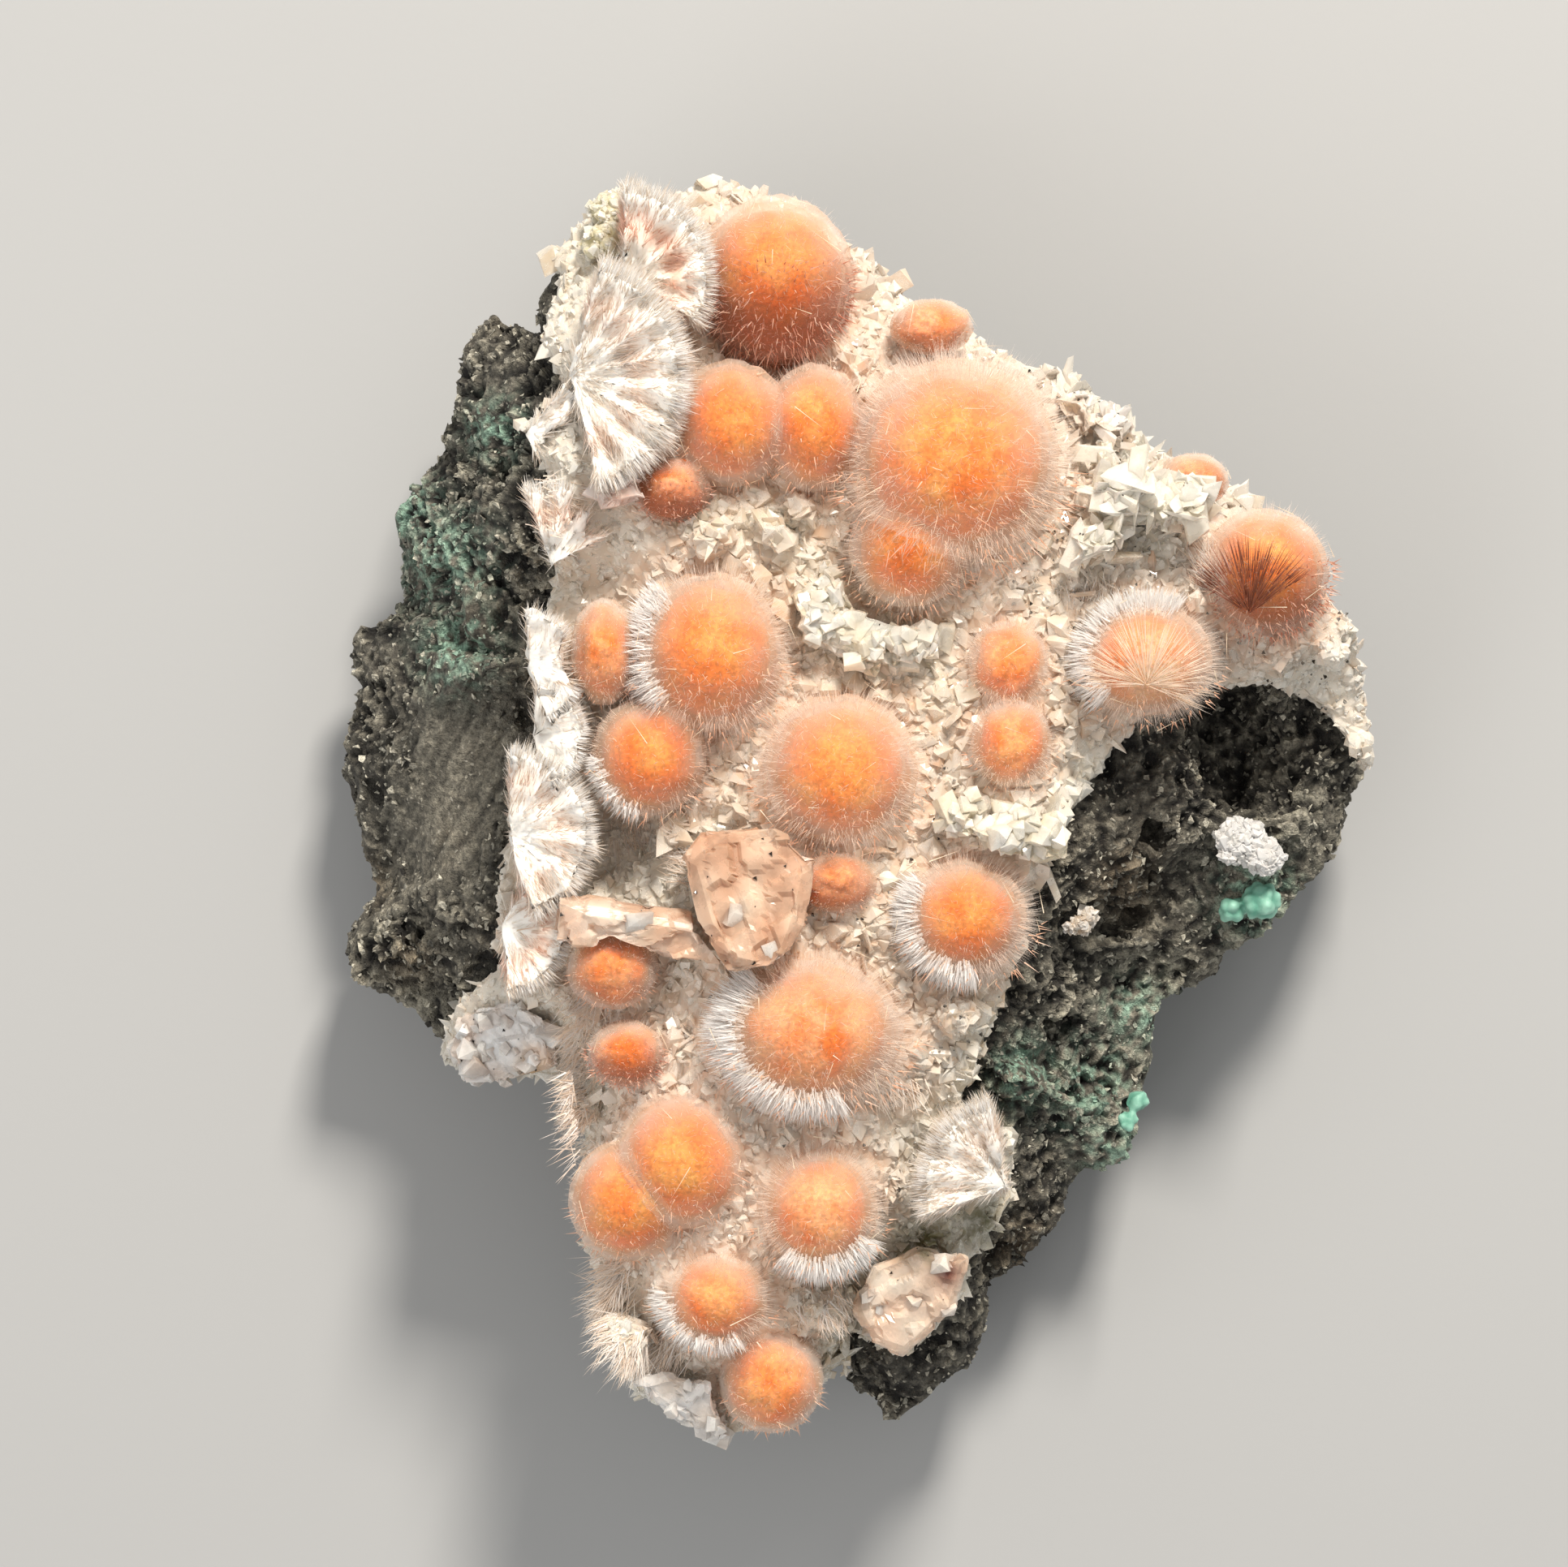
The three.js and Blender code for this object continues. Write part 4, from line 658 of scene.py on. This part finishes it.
def stood(form, places, stands, sizes, low_tones, tip_tones):
    """Copies of a form on end at places, each with its half sizes, turned at random about its stand."""
    corners, triangles, near_tip = form
    count = len(places)
    stands = stands / np.linalg.norm(stands, axis=1, keepdims=True)
    side = np.cross(stands, rng.normal(size=stands.shape))
    side = side / np.linalg.norm(side, axis=1, keepdims=True)
    across = np.cross(stands, side)
    uneven = np.clip(0.22 * rng.normal(size=(count, len(corners), 3)), -0.4, 0.4)
    shaped = corners[None] * (1 + uneven) * sizes[:, None, :]
    points = (places[:, None] + shaped[:, :, :1] * side[:, None] + shaped[:, :, 1:2] * across[:, None]
              + shaped[:, :, 2:] * stands[:, None])
    faces = len(corners) * np.arange(count)[:, None, None] + triangles
    # From the foot's colour to the tip's: where the tip is lighter, that is a painted highlight, and the
    # darker foot painted shade.
    tones = low_tones[:, None] + (tip_tones - low_tones)[:, None] * near_tip[None, :, None]
    return points.reshape(-1, 3), faces.reshape(-1, 3), tones.reshape(-1, 3)


def scattered(points, faces, per_mm2, lowest=0.0):
    """Random places on the faces that look up at least as much as lowest says, and the way they face."""
    across = np.cross(points[faces[:, 1]] - points[faces[:, 0]], points[faces[:, 2]] - points[faces[:, 0]])
    areas = np.linalg.norm(across, axis=1) / 2
    facing = across / np.maximum(2 * areas[:, None], 1e-12)
    areas = np.where(facing[:, 2] > lowest, areas, 0)
    count = int(areas.sum() * per_mm2)
    chosen = rng.choice(len(faces), count, p=areas / areas.sum())
    a, b = rng.random((2, count, 1))
    a, b = np.where(a + b > 1, 1 - a, a), np.where(a + b > 1, 1 - b, b)
    first, second, third = (points[faces[chosen, k]] for k in range(3))
    return first + a * (second - first) + b * (third - first), facing[chosen]


# The colours of the druse's crystals, at the foot and at the tip: the crystals' own tints, with the tips
# lighter as a painted highlight and the feet darker as painted shade
GREENISH, PINKISH, WHITISH = ("F1E1C8", "FFFAED"), ("F6E3CE", "FFFCF3"), ("F4EAD7", "FFFFF9")
# Zones of the druse: x, y, radius, colours, crystal size, share of blades
ZONES = [
    (0, 15, 11, GREENISH, 1.0, 0.2), (18, 21, 9, WHITISH, 1.2, 0.7), (12, 12, 7, GREENISH, 0.9, 0.4),
    (31, 6, 9, PINKISH, 0.5, 0.2), (6, 36, 8, PINKISH, 0.7, 0.3), (-21, 22, 6, PINKISH, 0.6, 0.4),
    (-21, 4, 6, PINKISH, 0.6, 0.4), (-21, -8, 6, PINKISH, 0.6, 0.4), (3, -6, 7, GREENISH, 1.0, 0.3),
    (10, -2, 5, WHITISH, 1.1, 0.3), (-7, -8, 8, GREENISH, 0.9, 0.3), (2, -24, 8, PINKISH, 0.8, 0.3),
    (8, -20, 6, GREENISH, 0.8, 0.3), (-12, -20, 7, PINKISH, 0.8, 0.4), (4, -34, 7, GREENISH, 0.7, 0.3),
    (-20, -30, 7, WHITISH, 0.6, 0.5),
]
# Dark mossy spots and where black grains are caught: x, y and radius
MOSS = [(5.2, -32.4, 2.4), (9.2, -31.0, 1.9), (-12.6, 22.4, 1.6)]
BLACK_GRAINS = [(17, 21, 7), (12, 14, 6), (31, 7, 8), (3, -7, 5), (6, -1, 5), (12, 28, 5), (4, -27, 5),
                (7, -17, 5)]


def druse_look(points):
    """Low colour, tip colour, crystal size and share of blades for points on the crust, from the zones."""
    weight = np.stack([np.exp(-((points[:, 0] - x) ** 2 + (points[:, 1] - y) ** 2) / radius ** 2)
                       for x, y, radius, *_ in ZONES], axis=1) + 1e-6
    weight /= weight.sum(axis=1, keepdims=True)
    values = np.array([linear(foot)[:3] + linear(tip)[:3] + [size, blades]
                       for _, _, _, (foot, tip), size, blades in ZONES])
    look = weight @ values
    return look[:, :3], look[:, 3:6], look[:, 6], look[:, 7]


def by_a_ball(points):
    """How near points are to the surface of a ball, 1 at it and 0 at half a radius away."""
    share = np.zeros(len(points))
    for other, middle, radii in spheres:
        away = np.sqrt((((points - middle) / radii) ** 2).sum(axis=1))
        share = np.maximum(share, 1 - 2.2 * np.clip(away - 1, 0, 1))
    return np.clip(share, 0, 1)


CRUST_EDGE, COVERED_EDGE = 0.75, 2.2    # the crust's triangles where they show and where they don't


def crust_edge(middles, lengths):
    wanted = np.full(len(middles), CRUST_EDGE)
    long = np.flatnonzero(lengths > wanted)
    hidden = crust_over(middles[long] + [0, 0, 0.9]) | inside_another(middles[long], "", 0.8)
    wanted[long[hidden]] = COVERED_EDGE
    return wanted


sheet_points, sheet_faces = halved(crust_points, crust_faces, crust_edge)
sheet_points = eased(sheet_points, sheet_faces, 2, 0.5)
first, second = cells(sheet_points, 1.3, 21)
bump = 0.7 * np.minimum(second - first, 0.5) + 0.35 * lumps(sheet_points, 2.6, 22) - 0.25
sheet_out = outward(sheet_points, sheet_faces)
sheet_points = sheet_points + sheet_out * (bump * np.clip(1 + sheet_out[:, 2], 0, 1))[:, None]
low_tone, tip_tone, _, _ = druse_look(sheet_points)
# Painted light and shade: the sheet is lighter where it stands up and darker in its hollows.
sheet_tint = low_tone + (tip_tone - low_tone) * np.clip(0.55 + bump, 0, 0.9)[:, None]
sheet_tint = mixed(sheet_tint, "F0A878", 0.35 * by_a_ball(sheet_points))
sheet_tint = mixed(sheet_tint, "6E6A45", near(sheet_points, MOSS))
put_together("crystal_sheet", (sheet_points, sheet_faces, sheet_tint), druse_mineral,
             ["crystal_crust"])

CRYSTALS_PER_MM2, BLACK_GRAINS_PER_MM2 = 2.5, 0.8
places, facing = scattered(sheet_points, sheet_faces, CRYSTALS_PER_MM2, -0.1)
open_place = ~inside_another(places, "", 0.86)
places, facing = places[open_place], facing[open_place]
low_tone, tip_tone, size, blades = druse_look(places)
stained = by_a_ball(places)
low_tone = mixed(low_tone, "F09A62", 0.45 * stained * rng.random(len(places)))
tip_tone = mixed(tip_tone, "F8C9A4", 0.35 * stained)
mossy = near(places, MOSS) * rng.random(len(places)) ** 0.4
low_tone, tip_tone = mixed(low_tone, "55532F", 1.3 * mossy), mixed(tip_tone, "9A9866", 1.1 * mossy)
spread = 0.85 * np.exp(np.clip(0.42 * rng.normal(size=len(places)), -0.8, 0.8))
bladed = rng.random(len(places)) < blades
long = np.where(bladed, 1.25, 0.62) * size * spread
wide = 0.5 * size * spread
thin = np.where(bladed, 0.14, 0.42) * size * spread
sizes = np.stack([wide, thin, long], axis=1)
stands = facing + np.where(bladed, 0.75, 0.6)[:, None] * rng.normal(size=facing.shape)
brick = rng.random(len(places)) < 0.6
places = places - 0.42 * long[:, None] * facing
druse = [stood(form, places[some], stands[some], sizes[some], low_tone[some], tip_tone[some])
         for form, some in ((BRICK, brick), (SHARD, ~brick))]
specks, facing = scattered(sheet_points, sheet_faces, BLACK_GRAINS_PER_MM2, 0.3)
caught = (rng.random(len(specks)) < 0.6 * near(specks, BLACK_GRAINS)) & ~inside_another(specks, "", 0.9)
specks, facing = specks[caught] + 0.55 * facing[caught], facing[caught]
grain_size = 0.05 + 0.1 * rng.random((len(specks), 1)) * np.ones((1, 3))
black = one_colour("16130F", len(specks))
druse.append(stood(SHARD, specks, facing, grain_size, black, black))
put_together("crystal_druse", gathered(druse), druse_mineral, ["crystal_crust"])

# The edge fringes
# Tufts of single mesolite needles along the crust's broken edges and between the balls. They are white, are
# rooted on the crust, and point out from it in one main direction.

# x, y and height of each fringe's middle, how far it spreads along x and y, the direction its needles
# point in degrees, how long they are, how many
FRINGES = [
    (-20.4, -20.5, 24.5, 1.0, 4.8, 215, 2.0, 900), (-19.6, -14.2, 26.5, 1.6, 1.8, 230, 2.0, 240),
    (-17.6, -36.2, 22.5, 1.2, 3.2, 225, 2.6, 700), (-15.2, -40.2, 22, 2.2, 1.2, 240, 2.6, 500),
    (-12.6, -3.6, 31.6, 0.8, 2.4, 165, 1.8, 220), (-16.5, -1.8, 29.2, 1.6, 2.0, 300, 2.2, 150),
    (2.4, -20.8, 28.2, 2.6, 1.0, 300, 1.8, 160), (-1.5, -37.0, 25.5, 2.6, 1.2, 285, 2.0, 200),
    (17.2, 15.2, 28.0, 2.8, 1.0, 100, 1.8, 160), (26.8, 17.0, 26.6, 1.6, 1.6, 120, 2.2, 200),
    (-22.4, 22.6, 29.4, 1.6, 2.0, 350, 2.0, 180),
]
groups = []
for x, y, height, along_x, along_y, heading, length, count in FRINGES:
    feet = np.array([x, y, height]) + rng.normal(size=(count, 3)) * [along_x / 2, along_y / 2, 0.7]
    heading = np.radians(heading + 24 * rng.normal(size=count))
    rise = 0.25 + 0.3 * rng.random(count)
    way = np.stack([np.cos(heading), np.sin(heading), rise], axis=1)
    down = [crust_tree.ray_cast(Vector(p) + Vector((0, 0, 12)), Vector((0, 0, -1)))[0] for p in feet]
    feet[:, 2] = [hit.z - 0.2 if hit else z for hit, z in zip(down, feet[:, 2])]
    tips = feet + way * (length * (0.5 + 0.6 * rng.random((count, 1))))
    white = mixed("FFFFFF", "FFF1E2", rng.random(count))
    groups.append(needles(feet, tips, 0.08 + 0.08 * rng.random(count), white, white))
put_together("edge_fringes", gathered(groups), mesolite, ["crystal_crust"])

# The broken mesolite fans
# Along the edges of the crust the balls are broken open. Each shows its fibres lying in the break, from the
# heart out to the rim: chalky white at the heart, stained orange further out, and bright white at the tips.

RING_MIDDLE, HALF_RING = 0.62, 0.24    # where the orange ring lies between heart and rim
# name, heart, radius, heading and half spread in degrees, how orange its ring is, fibres per mm2
FANS = [
    ("fan_top_left", (-17.4, 38.9, 28), 7.0, 28, 60, 0.4, 13),
    ("fan_white_left", (-21.2, 31.6, 29.8), 9.0, 0, 74, 0.12, 13),
    ("fan_upper_edge", (-24.6, 27.4, 27.6), 5.4, -4, 56, 0.05, 10),
    ("fan_cleaved_edge", (-22.6, 17.8, 29), 6.2, 68, 42, 0.2, 10),
    ("fan_left_edge_high", (-24.4, 10.2, 28.6), 4.4, 12, 80, 0.05, 5),
    ("fan_left_edge", (-24, 5.2, 28.4), 4.2, 8, 76, 0.05, 5),
    ("fan_left_edge_low", (-25.8, -2, 28), 6.6, 8, 80, 0.15, 9),
    ("fan_left_foot", (-26.4, -8.8, 27), 5.4, -14, 70, 0.3, 11),
    ("fan_lower_right", (11, -28.2, 25.6), 7.0, 150, 48, 0.08, 13),
]

# Mesolite in bulk: the same fibres packed side by side and broken across, chalky white. The fibre ends,
# 0.1 mm across, are drawn at 0.25 mm so that they show.
packed, tree = new_material("packed_mesolite")
stains = add_node(tree, "ShaderNodeVertexColor", layer_name="tint")
coords = add_node(tree, "ShaderNodeTexCoord")
fibre_ends = add_node(tree, "ShaderNodeTexNoise", {"Scale": 1 / (0.25 * MM), "Detail": 3.0},
                      [("Vector", coords, "Object")])
relief = add_node(tree, "ShaderNodeBump", {"Strength": 0.5, "Distance": 0.1 * MM},
                  [("Height", fibre_ends, "Fac")])
chalky = add_node(tree, "ShaderNodeBsdfPrincipled",
                  {"Roughness": 0.5, "IOR": 1.505, "Subsurface Weight": 0.3, "Subsurface Scale": 0.8 * MM,
                   "Subsurface Radius": WHITE_DEPTH},
                  [("Base Color", stains, "Color"), ("Normal", relief, "Normal")])
finish_material(tree, chalky)


def even_edges(longest):
    return lambda middles, lengths: np.full(len(middles), longest)


def in_stained_ring(at):
    """How deep in a fan's orange ring a place lies, 0 to 1. At is its distance from the heart in radii."""
    return np.clip(1 - np.abs(at - RING_MIDDLE) / HALF_RING, 0, 1)


for name, heart, radius, heading, half_spread, orange_zone, fibres_per_mm2 in FANS:
    body_points, body_faces = halved(*corners_and_faces(name), even_edges(0.8))
    heart = np.array(heart) + [FRAME_SHIFT, 0, 0]
    out_of_heart = body_points - heart
    angle = np.arctan2(out_of_heart[:, 1], out_of_heart[:, 0])
    away = np.linalg.norm(out_of_heart, axis=1)
    bundles = np.stack([angle * radius, 0.15 * away, 0.6 * out_of_heart[:, 2]], axis=1)
    groove = 0.25 * lumps(bundles, 0.9, 31) + 0.25 * lumps(bundles, 0.4, 32)
    groove = groove * np.clip(1.3 * away / radius, 0.1, 1) + 0.5 * lumps(body_points, 1.6, 34)
    body_points = body_points + outward(body_points, body_faces) * (groove - 0.1)[:, None]
    stain = in_stained_ring(away / radius) * orange_zone
    body_tint = mixed("FFFCF6", "FBB88C", stain * (1 + lumps(body_points, 2.5, 35)))
    put_together(name + "_body", (body_points, body_faces, body_tint), packed, [name],
                 smooth=True)

    # Fibres that lie in the broken faces and lift out of them towards the rim
    feet, facing = scattered(body_points, body_faces, fibres_per_mm2, -0.75)
    count = len(feet)
    way = feet - heart
    from_heart = np.linalg.norm(way, axis=1)
    way = way / from_heart[:, None] + 0.1 * rng.normal(size=way.shape)
    stretch = 0.7 + 1.3 * rng.random(count)
    room = np.maximum(radius * (1 + 0.05 * rng.normal(size=count)) - np.hypot(*(feet - heart)[:, :2].T), 0.5)
    lift = 0.1 + 0.6 * rng.random((count, 1))
    tips = feet + way * np.minimum(stretch, room)[:, None] + facing * lift
    feet = feet - 0.1 * facing
    tones = []
    for at in (from_heart / radius, (from_heart + stretch) / radius):
        orange_here = in_stained_ring(at) * orange_zone * (0.7 + 0.9 * rng.random(count))
        tones.append(mixed(mixed("FFFFFF", "E4D6C4", rng.random(count)), "FA9C60", orange_here))
    groups = [needles(feet, tips, 0.06 + 0.1 * rng.random(count) ** 2, *tones)]

    # The rim: needle ends that stand up out of the break all round the edge
    count = int(90 * radius * math.radians(half_spread))
    turn = np.radians(heading + half_spread * 1.04 * (2 * rng.random(count) - 1))
    ring = np.stack([np.cos(turn), np.sin(turn)], axis=1)
    feet = heart[:2] + ring * (radius * (0.74 + 0.14 * rng.random(count)))[:, None]
    tips = heart[:2] + ring * (radius * (0.95 + 0.1 * rng.random(count)))[:, None]
    fan_tree = BVHTree.FromPolygons([Vector(p) for p in body_points], body_faces.tolist())
    hits = [fan_tree.ray_cast(Vector((x, y, 60)), Vector((0, 0, -1)))[0] for x, y in feet]
    keep = np.array([hit is not None for hit in hits])
    foot_height = np.array([hit.z if hit else 0 for hit in hits]) - 0.9 * rng.random(count)
    feet = np.column_stack([feet, foot_height])
    tips = np.column_stack([tips, foot_height + radius * (0.02 + 0.1 * rng.random(count))])
    width = 0.07 + 0.08 * rng.random(count)
    white = one_colour(WHITE, keep.sum())
    groups.append(needles(feet[keep], tips[keep], width[keep], white, white))
    put_together(name + "_fibres", gathered(groups), mesolite, [name])

# The larger crystals
# Single crystals and small groups that stand above the druse: cloudy plates, a long slab, sheaves of clear
# blades and broken blocks. Each is the solid's own crystal with stepped growth faces, and smaller crystals
# of the same kind are grown onto it. They are clear mineral, clouded by milky veils.

# Apophyllite and calcite in larger crystals: clear, with glassy faces as they grew, and with veils of
# milk, 1 to 2 mm wide, that glow where the light spreads in them
clear, tree = new_material("clear_zeolite")
stains = add_node(tree, "ShaderNodeVertexColor", layer_name="tint")
coords = add_node(tree, "ShaderNodeTexCoord")
veils = add_node(tree, "ShaderNodeTexNoise", {"Scale": 1 / (1.6 * MM), "Detail": 4.0, "Roughness": 0.6},
                 [("Vector", coords, "Object")])
gloss = add_node(tree, "ShaderNodeMapRange",
                 {"From Min": 0.35, "From Max": 0.65, "To Min": 0.06, "To Max": 0.45},
                 [("Value", veils, "Fac")])
relief = add_node(tree, "ShaderNodeBump", {"Strength": 0.4, "Distance": 0.15 * MM},
                  [("Height", veils, "Fac")])
glassy = add_node(tree, "ShaderNodeBsdfPrincipled",
                  {"IOR": 1.5, "Transmission Weight": 0.6},
                  [("Base Color", stains, "Color"), ("Roughness", gloss, "Result"),
                   ("Normal", relief, "Normal")])
milky = add_node(tree, "ShaderNodeBsdfPrincipled",
                 {"Roughness": 0.35, "IOR": 1.5, "Subsurface Weight": 0.5, "Subsurface Scale": 1.5 * MM,
                  "Subsurface Radius": WHITE_DEPTH},
                 [("Base Color", stains, "Color"), ("Normal", relief, "Normal")])
veil = add_node(tree, "ShaderNodeMapRange",
                {"From Min": 0.35, "From Max": 0.62, "To Min": 0.4, "To Max": 0.9},
                [("Value", veils, "Fac")])
veiled = add_node(tree, "ShaderNodeMixShader", links=[("Fac", veil, "Result"), (1, glassy, 0), (2, milky, 0)])
finish_material(tree, veiled)

# node, low and tip colours, crystals grown onto it, their size and form, black grains caught in it
LARGE = [
    ("crystal_cloudy_plate", "D0A68A", "E8CCB4", 2, 1.0, "plates", 14),
    ("crystal_long_slab", "E2BEA4", "F4DECC", 2, 0.8, "plates", 4),
    ("crystal_blades_upper_right", "FFF5E0", "FFFBF0", 110, 1.1, "blades", 16),
    ("crystal_group_right", "F8EACE", "FFF9EA", 40, 0.9, "blocks", 8),
    ("crystal_blocks_middle", "F8EAD0", "FFFCF0", 80, 0.9, "blocks", 6),
    ("crystal_rim_group", "F0DCC8", "FFFFFF", 14, 0.9, "blades", 10),
    ("crystal_pink_plate", "F8D2C2", "FFF2EC", 3, 0.9, "plates", 0),
    ("crystal_coated_plate", "F4D4BC", "FFF0E0", 10, 0.8, "blocks", 6),
    ("crystal_bottom_block", "EEE0D4", "FFFFFF", 14, 0.9, "blocks", 0),
    ("block_bottom_left", "E6D2C4", "FFFFFF", 26, 1.0, "blocks", 12),
]
# Half sizes of each form in shares of its size, and how far it leans out of the face
FORMS = {"plates": ((0.85, 0.7, 0.22), 0.12), "blocks": ((0.65, 0.45, 0.6), 0.8),
         "blades": ((0.5, 0.14, 1.3), 0.9)}
# A dark red notch and a yellow stain: x, y and radius
NOTCH = [(6.8, -34.6, 1.1)]
YELLOW_STAIN = [(-24.3, -19.6, 1.1)]
SITES_PER_MM2 = 6    # places on the faces, some of which get a crystal
for name, low_colour, tip_colour, grown_count, grown_size, form, grain_count in LARGE:
    body_points, body_faces = halved(*corners_and_faces(name), even_edges(0.6))
    drawn_out = body_points @ np.array([[0.5, 0.16, 0.1], [-0.3, 0.75, 0.1], [0.1, 0.1, 0.4]]).T
    step = np.array([noise.cell(Vector(p)) for p in drawn_out + 0.25 * lumps(body_points, 3.0, 41)[:, None]])
    body_points = body_points + outward(body_points, body_faces) * (0.32 * (step - 0.5))[:, None]
    tone = mixed(low_colour, tip_colour, 0.35 + 1.3 * lumps(body_points, 2.4, 43))
    mossy = 0.85 * near(body_points, MOSS) * np.clip(0.6 + lumps(body_points, 0.8, 44), 0, 1)
    tone = mixed(tone, "75704A", mossy)
    tone = mixed(tone, "6A2E20", near(body_points, NOTCH))
    tone = mixed(tone, "B98A3C", 0.8 * near(body_points, YELLOW_STAIN))
    groups = [(body_points, body_faces, tone)]
    places, facing = scattered(body_points, body_faces, SITES_PER_MM2, 0.05)
    free = ~inside_another(places, "", 1.12)
    places, facing = places[free], facing[free]
    chosen = rng.choice(len(places), grown_count + grain_count, replace=False)
    places, facing = places[chosen], facing[chosen]
    shares, leaning = FORMS[form]
    size = grown_size * np.exp(np.clip(0.3 * rng.normal(size=len(places)), -0.6, 0.5))
    sizes = size[:, None] * shares
    stands = facing + leaning * rng.normal(size=facing.shape)
    # The grown crystals are whiter toward their tips, a painted highlight, over darker feet, painted shade.
    low_tone = mixed(low_colour, tip_colour, 0.5 * rng.random(len(places)))
    tip_tone = mixed(tip_colour, "FFFDF6", rng.random(len(places)))
    grown = slice(0, grown_count)
    rooted = places[grown] - 0.4 * facing[grown] * sizes[grown, 2:]
    groups.append(stood(BRICK, rooted, stands[grown], sizes[grown], low_tone[grown], tip_tone[grown]))
    grain = slice(grown_count, None)
    if grain_count:
        black = one_colour("14110E", grain_count)
        grain_size = (0.06 + 0.14 * rng.random((grain_count, 1)) ** 2) * np.ones((1, 3))
        groups.append(stood(SHARD, places[grain], facing[grain], grain_size, black, black))
    put_together(name + "_faces", gathered(groups), clear, [name])

# The small growths on the lava
# Blue-green celadonite spherules and crusts of fine white and beige zeolite grains on the right-hand ledge,
# and knobbly cream lumps at the upper left end of the crust.

# Celadonite: an earthy green mica in felted crusts, dull with a waxy look, with its grain drawn at 0.3 mm to
# show
celadonite, tree = new_material("celadonite")
stains = add_node(tree, "ShaderNodeVertexColor", layer_name="tint")
coords = add_node(tree, "ShaderNodeTexCoord")
waxy_grain = add_node(tree, "ShaderNodeTexNoise", {"Scale": 1 / (0.3 * MM), "Detail": 4.0},
                      [("Vector", coords, "Object")])
relief = add_node(tree, "ShaderNodeBump", {"Strength": 0.5, "Distance": 0.12 * MM},
                  [("Height", waxy_grain, "Fac")])
waxy = add_node(tree, "ShaderNodeBsdfPrincipled",
                {"Roughness": 0.5, "Subsurface Weight": 0.25, "Subsurface Scale": 0.5 * MM,
                 "Subsurface Radius": (0.8, 1.0, 0.9)},
                [("Base Color", stains, "Color"), ("Normal", relief, "Normal")])
finish_material(tree, waxy)

# Crumbs of the broken lava and flecks of zeolite that cling to it
CRUMBS_PER_MM2 = 1.5
places, facing = scattered(rock_points, rock_faces, CRUMBS_PER_MM2, -0.3)
bare = ~crust_over(places) & (places[:, 2] > 2.5) & (near(places, STRIATED_FACE) < 0.5)
places, facing = places[bare], facing[bare]
size = 0.1 + 0.24 * rng.random((len(places), 1)) ** 2.2
sizes = size * [[1.3, 0.6, 0.9]]
tone = mixed("2E2B26", "CFCBBC", rng.random(len(places)) ** 1.6)
tone = mixed(tone, "A8CCBA", near(places, GREEN_STAINS) * rng.random(len(places)))
crumbs = stood(SHARD, places, facing + 0.9 * rng.normal(size=facing.shape), sizes, tone, tone)
put_together("basalt_crumbs", crumbs, basalt, ["basalt_matrix"])

# node, low and high colours, width of its lumps, grains per mm2 and their size, slot
GROWTHS = [
    ("lumps_cream", "D6C898", "FBF2D2", 1.2, 4, 0.22, "cream_crystal"),
    ("spherules_green_right", "5FA08C", "A4D6C4", 0.9, 0, 0.0, "celadonite"),
    ("spherules_green_low", "5FA08C", "A4D6C4", 0.7, 0, 0.0, "celadonite"),
    ("patch_white", "E8E4E4", "FFFFFF", 0.7, 14, 0.24, "white_zeolite"),
    ("patch_beige", "CDAE8E", "F6E6D2", 0.6, 14, 0.2, "white_zeolite"),
]
for name, low_colour, high_colour, lump_width, per_mm2, grain_size, slot in GROWTHS:
    body_points, body_faces = halved(*corners_and_faces(name), even_edges(0.3))
    body_points = eased(body_points, body_faces, 4, 0.5)
    first, _ = cells(body_points, lump_width, 51)
    body_points = body_points + outward(body_points, body_faces) * (0.7 * lump_width * (0.5 - first))[:, None]
    # Painted light and shade: each lump is lighter on its top and darker in the creases between the lumps.
    tone = mixed(high_colour, low_colour, 1.4 * first - 0.1)
    groups = [(body_points, body_faces, tone)]
    if per_mm2:
        places, facing = scattered(body_points, body_faces, per_mm2, -0.2)
        size = grain_size * np.exp(0.3 * rng.normal(size=(len(places), 1))) * [[0.9, 0.6, 1.1]]
        # The grains are whiter toward their tips, a painted highlight, over darker feet, painted shade.
        low_tone = mixed(low_colour, high_colour, rng.random(len(places)))
        groups.append(stood(BRICK, places, facing + 0.6 * rng.normal(size=facing.shape), size, low_tone,
                            mixed(high_colour, "FFFFFF", rng.random(len(places)))))
    green = slot == "celadonite"
    put_together(name + "_grains", gathered(groups), celadonite if green else druse_mineral, [name],
                 smooth=green)
